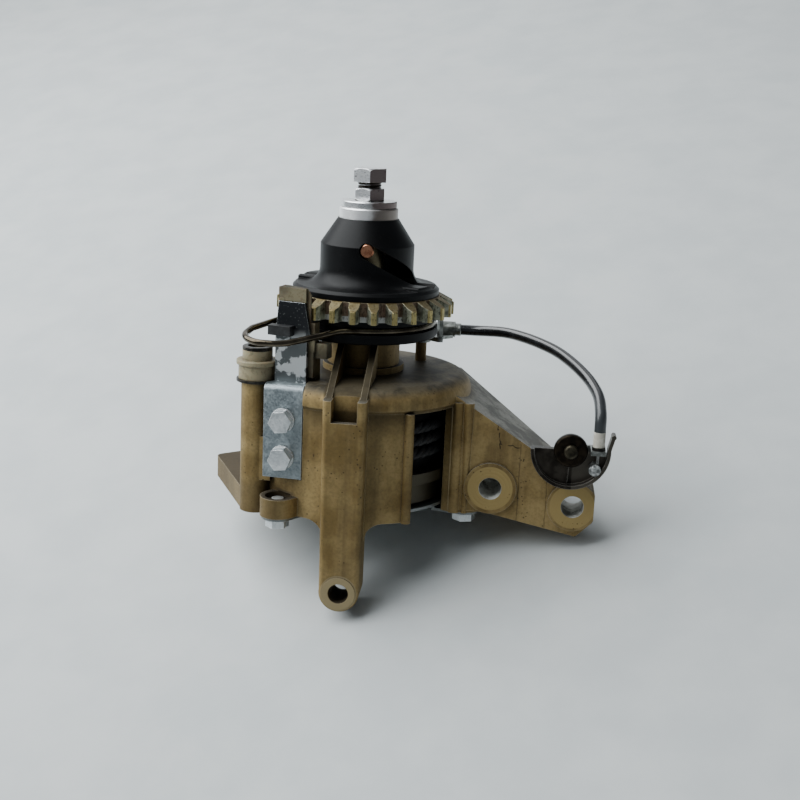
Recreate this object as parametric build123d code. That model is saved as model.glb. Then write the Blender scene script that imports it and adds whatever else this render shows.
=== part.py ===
from build123d import *
from math import acos, atan2, cos, degrees, hypot, pi, radians, sin, tan
import os

# Manual starter of a small outboard engine: a cast housing bolted to the engine by three
# bosses holds a rope spool on an upright spindle. The spindle's cross pin works in two
# helical slots of the pinion hub, so that a pull lifts the pinion into the flywheel's ring
# gear. A wire spring brakes the pinion, and a cable with a lever and a pawl locks it down.
# Millimetres. X to the right, Y to the rear, Z up along the spindle.
# The sub-parts are drawn about the spindle, with z = 0 at the housing's lower rim.
# They are written out about the arm's bolt hole, at the face that seats on the engine.

# Housing shell
SHELL_R = 44.5
SHELL_WALL = 3.2
SHELL_H = 54.7
DOME_WALL = 3.4
SHOULDER_PROUD = 1.4
SHOULDER_FILLET = 7.0
SHOULDER_BAND = 2.4
NECK_R = 15.0
NECK_H = 13.8
COLLAR_R = 17.0
COLLAR_H = 2.6

# Arm in front of the shell
ARM_X = -0.7
ARM_PROUD = 7.5
ARM_DEPTH = 15.0
ARM_W_TOP = 17.2
ARM_W_LOW = 16.2
ARM_DROP = 26.9
ARM_TOP_DROP = 3.0
ARM_EDGE = 2.0
ARM_BORE_R = 4.1
ARM_BOSS_R = 8.1
ARM_FACE_RAISE = 0.5
FORK_W = 10.2
FORK_DEPTH = 8.6
FORK_POCKET = 13.0
FORK_FRONT_WALL = 3.0
GUSSET_T = 2.6
GUSSET_SIDE = 0.4
GUSSET_FRONT_IN = 5.0
GUSSET_BELOW_NECK = 1.0
GUSSET_IN_NECK = 3.0
GUSSET_IN_DOME = 2.0
GUSSET_IN_ARM = 8.0
ARM_ROOT_FILLET = 7.0

# Rope window in the shell wall
WINDOW_FROM = -56.0
WINDOW_TO = -27.0
WINDOW_DROP = 10.0
LIP_R = 2.0
LIP_OUT = 0.6
LIP_TURN = 2.2
LIP_OVER = 0.6
RIGHT_LIP_R = 2.6
RIGHT_LIP_OUT = 1.8
TAPER_LIP_R_TOP = 2.2
TAPER_LIP_R_LOW = 1.3
TAPER_LIP_STEP = 4.3
TAPER_LIP_IN = 0.8
RIGHT_LIP_OVER = 2.2

# Box bracket on the right, with its two bolt bosses
BOX_FRONT = -21.0
BOX_WALL = 3.4
BOX_START_X = 36.0
BOX_TOP_DROP = 2.1
BOX_TOP_FLAT = 2.6
BOX_SLOPE = 32.2
BOX_BACK_X = 45.0
BOX_BACK_Y = 28.0
BOX_TAPER = 33.7
BOX_END_X = 99.2
BOX_BOTTOM_NEAR = 0.7
BOX_BOTTOM_FAR = -6.3
BOX_CHAMFER = 6.5
BOSS1_X = 56.7
BOSS1_Z = 11.7
BOSS1_R = 10.8
BOSS2_X = 90.6
BOSS2_Z = 6.3
BOSS2_R = 10.4
BOSS_BORE_R = 4.6
BOSS_RAISE = 1.0

# Upright tube at the left front, with its nylon bushing
TUBE_X = -39.8
TUBE_Y = -27.0
TUBE_R = 6.4
TUBE_TOP_DROP = 2.3
TUBE_BORE_R = 4.75
TUBE_SHAFT_R = 4.0
TUBE_WEB_W = 8.4
TUBE_WEB_DROP = 2.5
PANEL_LOW = 12.0
PANEL_BEHIND_BRACKET = 2.0
PANEL_DEPTH = 4.0
PANEL_STEPS = ((30.4, 0.5), (45.4, 1.4), (52.0, 3.2))
FOOT_TOP = 7.1
FOOT_BOTTOM = -2.1
FOOT_LEFT = -66.2
FOOT_LEFT_Y = 15.3
FOOT_BACK_X = -56.0
FOOT_BACK_Y = 24.0
FOOT_INNER_BACK = (-36.0, 30.0)
FOOT_INNER_FRONT = (-30.0, -20.0)
FOOT_FILLET = 3.5
BUSH_SKIRT_R = 7.6
BUSH_SKIRT_H = 5.8
BUSH_COLLAR_R = 8.5
BUSH_COLLAR_H = 2.0
BUSH_NECK_R = 6.1
BUSH_NECK_H = 4.0
BUSH_BORE_R = 3.6
BUSH_SPIGOT = 18.0
CLIP_R = 8.4
CLIP_T = 1.0
CAP_RING_T = 1.5

# Screws that hold the bottom cover
COVER_SCREW_OUT = 3.5
COVER_SCREW_ANGLES = (-126.0, -16.0, 115.0)
COVER_HEX_H = 2.8
EAR_R = 7.2
EAR_H = 8.0
EAR_CUP_R = 5.2
EAR_CUP_DEPTH = 2.0
SMALL_SCREW_R = 2.4
SMALL_HEX_AF = 8.3
SMALL_HEX_H = 4.0
SMALL_FLANGE_R = 4.9
SMALL_FLANGE_T = 0.9
COVER_T = 1.2
COVER_RECESS = 2.6
COVER_TAB_W = 13.0
COVER_GAP = 1.1
COVER_POST_R = 8.0
COVER_POST_SHY = 2.6
COVER_POST_BORE_R = 3.0
COVER_POST_BORE = 4.0

# Spool, rope and recoil spring
JOURNAL_R = 12.05
JOURNAL_WAIST_R = 7.3
JOURNAL_LAND = 5.6
RUN_GAP = 0.06
JOURNAL_TOP_OVER_HUB = 4.4
SPOOL_RIM_GAP = 0.7
SPOOL_FLANGE_T = 4.6
SPOOL_TOP_FLANGE_T = 2.6
SPOOL_CUP_H = 8.6
SPOOL_CUP_STEP = 2.6
SPOOL_CUP_WALL = 1.8
SPOOL_BORE_RISE = 12.0
SPOOL_SHOULDER_R = 16.0
SPOOL_SHOULDER_H = 4.0
SPOOL_END_GAP = 0.4
ROPE_D = 5.4
ROPE_LAYERS = 3
ROPE_SHY = 2.4
SPRING_STRIP_T = 0.8
SPRING_STRIP_H = 6.4
SPRING_TURNS = 7.0
SPRING_FREE = 3.6
SPRING_INNER_R = 11.5

# Pinion
PINION_TEETH = 27
MODULE = 2.54
TOOTH_PHASE = 2.3
GEAR_W = 7.8
TOOTH_BEVEL = 3.0
GEAR_BORE_R = 24.5
PINION_LIFT_GAP = 1.4
DISC_R = 30.4
DISC_T = 3.9
GROOVE_W = 2.9
GROOVE_R = 27.1
RING_R = 29.0
RING_H = 2.5
FLANGE_R = 30.4
FLANGE_T = 3.4
HUB_R = 19.4
HUB_TOP_R = 12.9
HUB_CYL_H = 16.5
HUB_CONE_H = 10.4
HUB_FILLET = 6.5
LOBE_W = 16.0
LOBE_H = 1.6
LOBE_ROUND = 0.9
LOBE_LEAD = 8.0
BUSH_WALL = 1.4
BUSH_SIDE_GAP = 0.06

# Lifting screw action of the hub on the spindle's cross pin
PIN_R = 2.8
PIN_BELOW_HUB_TOP = 11.6
PIN_ANGLE = -84.0
PIN_INSET = 0.9
SLOT_GAP = 0.3
RISE = 12.0
TWIST = 70.0

# Spindle end hardware
BOLT_R = 4.4
BOLT_HEX_AF = 13.1
BOLT_HEX_H = 5.5
BOLT_SHOW = 2.6
BOLT_REACH = 26.0
NUT_AF = 11.8
NUT_H = 5.0
WASHER_R = 11.45
WASHER_T = 2.7
HOLE_GAP = 0.1

# Brake spring of the pinion
WIRE_R = 1.3
WIRE_GAP = 0.2
LOOP_ENTRY_ANGLE = -78.0
LOOP_ENTRY_RUN = 12.0
LOOP_FRONT = (-25.5, -48.0)
LOOP_CORNER = (-44.3, -49.0)
LOOP_BACK = (-41.0, -33.0)
LOOP_DROOP_FRONT = 3.1
LOOP_DROOP_CORNER = 2.9
LOOP_DROOP_BACK = 0.4
LOOP_BENDS = [9.0, 13.0, 9.0, 9.0]
SPRING_END_ANGLE = 22.0
SPRING_END_GAP = 14.0

# Guide of the brake spring's loop, on its bracket
BRACKET_X = -26.7
BRACKET_Y = -39.6
BRACKET_TURN = -6.0
BRACKET_W = 16.0
BRACKET_T = 2.0
BRACKET_TOP_DROP = 1.0
BRACKET_H = 38.0
BRACKET_LEG = 13.0
BRACKET_BEND = 2.6
BRACKET_HOLES = (13.9, 29.3)
BRACKET_SCREW_L = 8.0
SCREW_HOLE_OVER = 0.5
GUIDE_X = -25.3
GUIDE_Y = -33.0
GUIDE_TURN = -15.0
GUIDE_W_LOW = 13.6
GUIDE_W_TOP = 11.2
GUIDE_W_MID = 15.0
GUIDE_STEP = 19.0
GUIDE_T = 1.5
GUIDE_H = 32.5
GUIDE_TOP_SHIFT = 1.2
GUIDE_FOOT = 4.5
BLOCK_W = 16.4
BLOCK_DEPTH = 4.4
BLOCK_OVER = 5.6
BLOCK_BEVEL = 3.6
BLOCK_STEM_W = 8.0
BLOCK_STEM_H = 13.0
BLOCK_STEM_DEPTH = 7.0
BLOCK_LUG_W = 6.9
BLOCK_LUG_H = 6.1
BLOCK_LUG_DROP = 2.5
BLOCK_LUG_DEPTH = 5.0
BLOCK_LUG_IN = 2.0
BLOCK_STEM_IN = 0.4
BLOCK_FOOT_H = 4.0
BLOCK_CLEARANCE = 0.9
STOP_W = 9.6
STOP_H = 3.9
STOP_DEPTH = 4.2
STOP_Z = 19.3
STOP_LEFT = 1.4

# Lockout pawl at the rear right
PAWL_X = 22.6
PAWL_Y = 20.0
PAWL_POST_R = 2.4
PAWL_POST_DROP = 5.3
PAWL_T = 2.0
PAWL_EYE_R = 3.6
PAWL_BORE_R = 1.56
PAWL_HOOK_R = 33.8
PAWL_HOOK_ANGLE = 24.0
PAWL_HOOK_W = 3.0
PAWL_HOOK_STEM = 1.6
PAWL_NOSE = 1.1
PAWL_OVER_DISC = 0.5
PAWL_UNDER_GEAR = 0.7
PAWL_ARM_X = 18.5
PAWL_ARM_Y = 34.0
PAWL_ARM_W = 4.4
PAWL_SCREW_R = 1.5
PAWL_SCREW_L = 7.0
PAWL_HEAD_R = 2.9
PAWL_HEAD_T = 1.2

# Cable from the pawl to the lever
SHEATH_R = 2.35
WIRE_ROPE_R = 0.7
WIRE_ROPE_GAP = 0.7
CABLE_RAISE = 3.3
CABLE_Y = 34.0
UPPER_FERRULE_X = 25.5
UPPER_FERRULE_L = 13.5
UPPER_WIRE_REACH = 0.4
UPPER_FERRULE_MOUTH_R = 2.1
UPPER_FERRULE_MOUTH = 5.5
FERRULE_R = 2.75
CLAMP_T = 1.4
CLAMP_FROM = 5.3
CLAMP_W = 5.6
CLAMP_GRIP_T = 0.7
CLAMP_STRIP_W = 3.6
CLAMP_EYE_R = 4.0
CLAMP_STRIP_OFF = 3.0
CLAMP_STRIP_OVER = 1.2
LOWER_FERRULE_L = 6.2
FERRULE_RING_L = 1.3
CABLE_FROM_LEVER = 10.9
LOWER_CABLE_Y = -28.0
CABLE_STRAIGHT_X = 46.5
CABLE_DROP_Z = 46.5
CABLE_ROUTE = [
    (59.0, 29.5, 67.5),
    (70.5, 20.5, 66.5),
    (81.2, 11.0, 64.1),
    (89.0, 1.0, 60.4),
    (95.0, -9.0, 56.3),
    (98.4, -19.0, 52.1),
]
CABLE_BEND_SHARE = 0.45

# Lockout lever on the box bracket
LEVER_FROM_END = 11.2
LEVER_Z = 31.9
LEVER_PLATE_Y = -24.2
LEVER_T = 1.8
LEVER_R = 16.0
LEVER_RIM_T = 1.5
LEVER_RIM_DEPTH = 5.0
LEVER_FINGER_START = 4.0
LEVER_FINGER_X = 16.6
LEVER_FINGER_Z = 6.6
LEVER_THICK_STEP = 1.0
LEVER_BUSH_R = 6.8
LEVER_BUSH_HEAD_T = 2.6
LEVER_SPIGOT_R = 4.0
LEVER_SCREW_R = 2.2
LEVER_SCREW_HEAD_R = 2.9
LEVER_SCREW_HEAD_T = 1.9
LEVER_PLAY = 0.3
LUG_R = 4.0
LUG_DEPTH = 3.4
NIPPLE_R = 2.4
NIPPLE_L = 5.0
NIPPLE_DX = 9.9
NIPPLE_DZ = -6.8
WIRE_IN_NIPPLE = 0.4
WIRE_IN_FERRULE = 0.8
CABLE_STOP_T = 1.5
CABLE_STOP_W = 6.0
CABLE_STOP_TAB_T = 1.8
CABLE_STOP_H = 5.5
CABLE_STOP_DROP = 0.8

# Heights and places that follow from the sizes above
NECK_TOP = SHELL_H + NECK_H
SHOULDER_R = SHELL_R + SHOULDER_PROUD
ARM_TOP = SHELL_H - ARM_TOP_DROP
FORK_FLOOR = ARM_TOP - FORK_DEPTH
WINDOW_TOP = SHELL_H - WINDOW_DROP
BOX_TOP_START = SHELL_H - BOX_TOP_DROP
BOX_TOP_LIMIT = BOX_TOP_START - BOX_TOP_FLAT
TUBE_TOP = SHELL_H - TUBE_TOP_DROP
BRACKET_TOP = SHELL_H - BRACKET_TOP_DROP
PAWL_POST_TOP = NECK_TOP - PAWL_POST_DROP
CABLE_Z = PAWL_POST_TOP + CABLE_RAISE
COVER_SCREW_CIRCLE = SHELL_R + COVER_SCREW_OUT
PINION_Z = NECK_TOP + PINION_LIFT_GAP
GROOVE_Z = PINION_Z + DISC_T
RING_Z = GROOVE_Z + GROOVE_W
GEAR_Z = RING_Z + RING_H
FLANGE_Z = GEAR_Z + GEAR_W
HUB_Z = FLANGE_Z + FLANGE_T
CONE_Z = HUB_Z + HUB_CYL_H
HUB_TOP = CONE_Z + HUB_CONE_H
JOURNAL_TOP = HUB_TOP + JOURNAL_TOP_OVER_HUB
PIN_Z = HUB_TOP - PIN_BELOW_HUB_TOP
SLOT_R = PIN_R + SLOT_GAP
SLOT_LOW_Z = PIN_Z - RISE
HUB_BORE_R = JOURNAL_R + RUN_GAP
HUB_BUSH_R = HUB_BORE_R + BUSH_WALL
HUB_BUSH_TOP = SLOT_LOW_Z - SLOT_R - 0.2
HUB_COUNTERBORE_R = HUB_BUSH_R + BUSH_SIDE_GAP
SHELL_BORE_R = SHELL_R - SHELL_WALL
SPOOL_FLANGE_R = SHELL_BORE_R - SPOOL_RIM_GAP
SPOOL_CUP_R = SPOOL_FLANGE_R - SPOOL_CUP_STEP
SPOOL_CORE_R = SPOOL_FLANGE_R - ROPE_SHY - ROPE_D * ROPE_LAYERS
SPRING_OUTER_R = SPOOL_CUP_R - SPOOL_CUP_WALL - SPRING_FREE - SPRING_STRIP_T
SPRING_PITCH = (SPRING_OUTER_R - SPRING_INNER_R) / SPRING_TURNS
CEILING = SHELL_H - DOME_WALL
COVER_TOP = COVER_RECESS + COVER_T
SPOOL_LOW = COVER_TOP + COVER_GAP
SPOOL_FLANGE_Z = SPOOL_LOW + SPOOL_CUP_H
ROPE_Z = SPOOL_FLANGE_Z + SPOOL_FLANGE_T
SPOOL_BORE_TOP = ROPE_Z + SPOOL_BORE_RISE
SPOOL_TOP = CEILING - SPOOL_END_GAP
SPOOL_TOP_FLANGE_Z = SPOOL_TOP - SPOOL_SHOULDER_H - SPOOL_TOP_FLANGE_T
ARM_FRONT = -SHELL_R - ARM_PROUD
ARM_BACK = ARM_FRONT + ARM_DEPTH
WIRE_Z = GROOVE_Z + GROOVE_W / 2
WIRE_LINE_R = GROOVE_R + WIRE_GAP + WIRE_R
GUIDE_Z = BRACKET_TOP
PAWL_Z = PAWL_POST_TOP + CLAMP_T + 0.1
LEVER_X = BOX_END_X - LEVER_FROM_END
LOWER_CABLE_X = LEVER_X + CABLE_FROM_LEVER
CABLE_STOP_Z = LEVER_Z - CABLE_STOP_DROP
FERRULE_RING_Z = CABLE_STOP_Z + CABLE_STOP_TAB_T
LOWER_FERRULE_Z = FERRULE_RING_Z + FERRULE_RING_L
SHEATH_END_Z = LOWER_FERRULE_Z + LOWER_FERRULE_L
SHEATH_START_X = UPPER_FERRULE_X + UPPER_FERRULE_L
HOME = Pos(-ARM_X, -ARM_BACK, ARM_DROP)


def column(radius, z0, z1, x=0.0, y=0.0):
    return Pos(x, y, z0) * Cylinder(radius, z1 - z0, align=(Align.CENTER, Align.CENTER, Align.MIN))


def tube(outer, inner, z0, z1, x=0.0, y=0.0):
    return column(outer, z0, z1, x, y) - column(inner, z0 - 1, z1 + 1, x, y)


def barrel(radius, y0, y1, x, z):
    # A cylinder along Y between two planes.
    body = Cylinder(radius, y1 - y0, align=(Align.CENTER, Align.CENTER, Align.MIN))
    return Pos(x, y0, z) * Rot(-90, 0, 0) * body


def block(x0, x1, y0, y1, z0, z1):
    size = Box(x1 - x0, y1 - y0, z1 - z0, align=(Align.MIN, Align.MIN, Align.MIN))
    return Pos(x0, y0, z0) * size


def hexagon(flats, z0, z1, x=0.0, y=0.0, turn=0.0):
    sketch = RegularPolygon(flats / 2, 6, major_radius=False)
    return Pos(x, y, z0) * Rot(0, 0, turn) * extrude(sketch, z1 - z0)


def chamfered_hexagon(flats, z0, z1, turn=0.0, both=False):
    # A hexagon whose corners are turned off by a cone, on one or both faces.
    corner = flats / 3**0.5
    turned = column(corner, z0, z1)
    turned = chamfer(turned.faces().sort_by(Axis.Z)[-1].edges(), (corner - flats / 2) * 0.9)
    if both:
        turned = chamfer(turned.faces().sort_by(Axis.Z)[0].edges(), (corner - flats / 2) * 0.9)
    return hexagon(flats, z0, z1, turn=turn) & turned


def turned(points):
    # A solid of revolution about the spindle, from (radius, height) points.
    return revolve(make_face(Polyline(*[(r, 0, z) for r, z in points], close=True)), Axis.Z)


def in_front_plane(points, y0, y1):
    # A polygon in X and Z, carried along Y.
    outline = make_face(Polyline(*[(x, y0, z) for x, z in points], close=True))
    return extrude(outline, amount=y1 - y0, dir=(0, 1, 0))


def on_circle(radius, angle):
    return radius * cos(radians(angle)), radius * sin(radians(angle))


def box_top_z(x):
    # Height of the box bracket's sloping top at a place along X.
    return BOX_TOP_START - (x - BOX_START_X) * tan(radians(BOX_SLOPE))


def box_bottom_z(x):
    share = (x - BOSS1_X) / (BOSS2_X - BOSS1_X)
    return BOX_BOTTOM_NEAR + (BOX_BOTTOM_FAR - BOX_BOTTOM_NEAR) * share


def shell_outside():
    shoulder_z = SHELL_H - SHOULDER_FILLET
    low = shoulder_z - SHOULDER_BAND
    flat_r = SHOULDER_R - SHOULDER_FILLET
    mid = SHOULDER_FILLET * cos(radians(45))
    side = Polyline(
        (0, 0, 0),
        (SHELL_R, 0, 0),
        (SHELL_R, 0, low),
        (SHOULDER_R, 0, low + SHOULDER_PROUD),
        (SHOULDER_R, 0, shoulder_z),
    )
    round_off = ThreePointArc(
        (SHOULDER_R, 0, shoulder_z),
        (flat_r + mid, 0, shoulder_z + mid),
        (flat_r, 0, SHELL_H),
    )
    top = Polyline((flat_r, 0, SHELL_H), (0, 0, SHELL_H), (0, 0, 0))
    return revolve(make_face(side + round_off + top), Axis.Z)


def shell_inside():
    corner = 4.0
    return turned(
        [
            (0, -1),
            (SHELL_BORE_R, -1),
            (SHELL_BORE_R, CEILING - corner),
            (SHELL_BORE_R - corner, CEILING),
            (0, CEILING),
        ]
    )


def neck():
    body = column(NECK_R, CEILING, NECK_TOP)
    body += column(COLLAR_R, CEILING, SHELL_H + COLLAR_H)
    top_edge = body.edges().sort_by(Axis.Z)[-1]
    return chamfer(top_edge, 0.8)


def arm():
    top = [(ARM_X - ARM_W_TOP / 2, ARM_TOP), (ARM_X + ARM_W_TOP / 2, ARM_TOP)]
    low = [(ARM_X + ARM_W_LOW / 2, -ARM_DROP), (ARM_X - ARM_W_LOW / 2, -ARM_DROP)]
    body = in_front_plane(top + low, ARM_FRONT, ARM_BACK)
    front = body.faces().sort_by(Axis.Y)[0]
    sides = front.edges().sort_by(Axis.X)
    body = fillet([sides[0], sides[-1]], ARM_EDGE)
    boss = barrel(ARM_BOSS_R, ARM_FRONT, ARM_BACK, ARM_X, -ARM_DROP)
    body += fillet(boss.edges().sort_by(Axis.Y)[0], ARM_EDGE - 0.8)
    raised = barrel(ARM_BOSS_R - 1.3, ARM_FRONT - ARM_FACE_RAISE, ARM_FRONT + 1, ARM_X, -ARM_DROP)
    return body + raised


def arm_root():
    # Webs that run out from the arm into the shell's lower rim, with round corners.
    r = ARM_ROOT_FILLET
    half = ARM_W_LOW / 2
    web = block(ARM_X - half - r, ARM_X + half + r, -SHELL_R, ARM_BACK, -r, 2.0)
    for side in (-1, 1):
        web -= barrel(r, -SHELL_R - 1, ARM_BACK + 1, ARM_X + side * (half + r + 0.35), -r)
    return web & column(SHELL_R, -r - 1, 3)


def gussets():
    # Two ribs from the arm's prongs up to the neck.
    body = None
    x = FORK_W / 2 + GUSSET_T / 2 + GUSSET_SIDE
    front = ARM_FRONT + GUSSET_FRONT_IN
    inner = -NECK_R + GUSSET_IN_NECK
    high = NECK_TOP - GUSSET_BELOW_NECK
    profile = [(front, ARM_TOP), (-NECK_R, high), (inner, high)]
    profile += [(inner, SHELL_H - GUSSET_IN_DOME), (front, SHELL_H - GUSSET_IN_ARM)]
    for side in (-1, 1):
        near = ARM_X + side * x - GUSSET_T / 2
        outline = make_face(Polyline(*[(near, y, z) for y, z in profile], close=True))
        rib = extrude(outline, amount=GUSSET_T, dir=(1, 0, 0))
        body = rib if body is None else body + rib
    return body


def fork_cut():
    # The notch between the prongs, and the deep pocket behind the arm's front wall.
    left = ARM_X - FORK_W / 2
    right = ARM_X + FORK_W / 2
    back = -SHELL_R + 0.4
    notch = block(left, right, ARM_FRONT - 1, back, FORK_FLOOR, ARM_TOP + 2)
    low = FORK_FLOOR - FORK_POCKET
    return notch + block(left, right, ARM_FRONT + FORK_FRONT_WALL, back, low, ARM_TOP + 2)


def window_cut():
    span = WINDOW_TO - WINDOW_FROM
    reach = 2 * SHELL_R
    a = on_circle(reach, WINDOW_FROM)
    b = on_circle(reach, WINDOW_FROM + span)
    wedge = make_face(Polyline((0, 0, -2), (a[0], a[1], -2), (b[0], b[1], -2), close=True))
    return extrude(wedge, amount=WINDOW_TOP + 2, dir=(0, 0, 1)) - column(SHELL_BORE_R - 2, -3, WINDOW_TOP + 1)


def window_lips():
    # Round bars down both sides of the window, and a tapered one beside the box bracket.
    left = on_circle(SHELL_R + LIP_OUT, WINDOW_FROM - LIP_TURN)
    right = on_circle(SHELL_R + RIGHT_LIP_OUT, WINDOW_TO + LIP_TURN)
    top = WINDOW_TOP + RIGHT_LIP_OVER
    body = column(LIP_R, 0, WINDOW_TOP + LIP_OVER, *left)
    body += column(RIGHT_LIP_R, 0, top, *right)
    align = (Align.CENTER, Align.CENTER, Align.MIN)
    taper = Cone(TAPER_LIP_R_LOW, TAPER_LIP_R_TOP, top, align=align)
    return body + Pos(right[0] + TAPER_LIP_STEP, BOX_FRONT + TAPER_LIP_IN, 0) * taper


def box_outline(inset=0.0):
    # Outline of the box bracket in X and Z, drawn in by the wall where asked.
    x0 = BOX_START_X - 2.0
    x1 = BOX_END_X - inset
    lift = inset / cos(radians(BOX_SLOPE))
    knee = x1 - BOX_CHAMFER
    flat_end = BOX_START_X + (BOX_TOP_START - BOX_TOP_LIMIT) / tan(radians(BOX_SLOPE))
    return [
        (x0, BOX_TOP_LIMIT - lift),
        (flat_end, BOX_TOP_LIMIT - lift),
        (x1, box_top_z(x1) - lift),
        (x1, box_bottom_z(knee) + BOX_CHAMFER + inset),
        (knee, box_bottom_z(knee) + inset),
        (BOSS1_X - 2, BOX_BOTTOM_NEAR + 0.4 + inset),
        (x0, BOX_BOTTOM_NEAR + 0.4 + inset),
    ]


def box_taper():
    # Everything behind the box bracket's slanting rear edge, as seen from above.
    x1 = BOX_END_X + 10
    y1 = BOX_BACK_Y - (x1 - BOX_BACK_X) * tan(radians(BOX_TAPER))
    y0 = BOX_BACK_Y + BOX_BACK_X * tan(radians(BOX_TAPER))
    far = 2 * y0
    low = -ARM_DROP
    plan = make_face(Polyline((0, y0, low), (x1, y1, low), (x1, far, low), (0, far, low), close=True))
    return extrude(plan, amount=SHELL_H + ARM_DROP, dir=(0, 0, 1))


def box_bracket():
    back = BOX_BACK_Y + 10
    body = in_front_plane(box_outline(), BOX_FRONT, back)
    body -= in_front_plane(box_outline(BOX_WALL), BOX_FRONT + BOX_WALL, back + 1)
    for x, z, r in ((BOSS1_X, BOSS1_Z, BOSS1_R), (BOSS2_X, BOSS2_Z, BOSS2_R)):
        boss = barrel(r, BOX_FRONT - BOSS_RAISE, back, x, z)
        body += boss & block(x - r, BOX_END_X + 0.3, BOX_FRONT - 5, back, -SHELL_H, SHELL_H)
    body += lever_lug()
    return body - box_taper()


def lever_lug():
    back = BOX_FRONT + LUG_DEPTH
    lug = barrel(LUG_R, BOX_FRONT, back, LEVER_X, LEVER_Z)
    foot = box_top_z(LEVER_X + LUG_R) - 1
    return lug + block(LEVER_X - LUG_R, LEVER_X + LUG_R, BOX_FRONT, back, foot, LEVER_Z)


def bolt_bores():
    cut = barrel(ARM_BORE_R, ARM_FRONT - 2, ARM_BACK + 2, ARM_X, -ARM_DROP)
    for x, z in ((BOSS1_X, BOSS1_Z), (BOSS2_X, BOSS2_Z)):
        cut += barrel(BOSS_BORE_R, BOX_FRONT - 3, BOX_BACK_Y + 12, x, z)
    cut += barrel(LEVER_SCREW_R, BOX_FRONT - 1, BOX_FRONT + LUG_DEPTH + 1, LEVER_X, LEVER_Z)
    return cut


def left_tube():
    body = column(TUBE_R, FOOT_BOTTOM, TUBE_TOP, TUBE_X, TUBE_Y)
    angle = degrees(atan2(TUBE_Y, TUBE_X))
    half = TUBE_WEB_W / 2
    top = TUBE_TOP - TUBE_WEB_DROP
    web = block(SHELL_BORE_R + 1, hypot(TUBE_X, TUBE_Y), -half, half, FOOT_TOP, top)
    return body + Rot(0, 0, angle) * web + tube_panel()


def tube_panel():
    # The flat wall between the tube and the bracket's seat, set back in steps as it rises.
    body = None
    low = PANEL_LOW
    right = BRACKET_X - BRACKET_W / 2 + PANEL_BEHIND_BRACKET
    for high, back in PANEL_STEPS:
        step = block(TUBE_X, right, TUBE_Y - TUBE_R + back, TUBE_Y + PANEL_DEPTH, low, high)
        body = step if body is None else body + step
        low = high
    return body


def foot():
    corner = [(FOOT_LEFT, FOOT_LEFT_Y), (FOOT_BACK_X, FOOT_BACK_Y), FOOT_INNER_BACK, FOOT_INNER_FRONT]
    corner += [(TUBE_X, TUBE_Y - TUBE_R + 0.4), (TUBE_X - TUBE_R + 0.6, TUBE_Y - 1.5)]
    outline = make_face(Polyline(*[(x, y, FOOT_BOTTOM) for x, y in corner], close=True))
    body = extrude(outline, amount=FOOT_TOP - FOOT_BOTTOM, dir=(0, 0, 1))
    outer = body.edges().filter_by(Axis.Z).sort_by(Axis.X)[:2]
    body = fillet(outer, FOOT_FILLET)
    return body - column(SHELL_BORE_R, FOOT_BOTTOM - 1, FOOT_TOP + 1)


def bracket_pad():
    # The flat raised seat of the zinc bracket, and the level seat of its upper leg.
    half = BRACKET_W / 2 - 0.6
    low = BRACKET_TOP - BRACKET_H + 1.5
    pad = block(-half, half, BRACKET_T, 14.0, low, BRACKET_TOP - BRACKET_T - 2)
    return Pos(BRACKET_X, BRACKET_Y, 0) * Rot(0, 0, BRACKET_TURN) * pad


def bracket_leg_cut():
    # Room for the upright leg in front of its seat, and for the level leg above its seat.
    half = BRACKET_W / 2 + 0.3
    low = BRACKET_TOP - BRACKET_H - 0.3
    cut = block(-half, half, -4, BRACKET_LEG + 0.6, BRACKET_TOP - BRACKET_T, BRACKET_TOP + 12)
    cut += block(-half, half, -12, BRACKET_T, low, BRACKET_TOP)
    return Pos(BRACKET_X, BRACKET_Y, 0) * Rot(0, 0, BRACKET_TURN) * cut


def ears():
    body = None
    for angle in COVER_SCREW_ANGLES:
        x, y = on_circle(COVER_SCREW_CIRCLE, angle)
        web = block(SHELL_BORE_R + 0.5, COVER_SCREW_CIRCLE, -EAR_R, EAR_R, 0, EAR_H)
        ear = column(EAR_R, 0, EAR_H, x, y) + Rot(0, 0, angle) * web
        body = ear if body is None else body + ear
    return body


def ear_cuts():
    cut = None
    for angle in COVER_SCREW_ANGLES:
        x, y = on_circle(COVER_SCREW_CIRCLE, angle)
        hole = column(SMALL_SCREW_R + HOLE_GAP, -1, EAR_H + 1, x, y)
        hole += column(EAR_CUP_R, EAR_H - EAR_CUP_DEPTH, EAR_H + 0.6, x, y)
        cut = hole if cut is None else cut + hole
    return cut


def bracket_screw_places():
    places = []
    for drop in BRACKET_HOLES:
        places.append(Pos(BRACKET_X, BRACKET_Y, BRACKET_TOP - drop) * Rot(0, 0, BRACKET_TURN))
    return places


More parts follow.
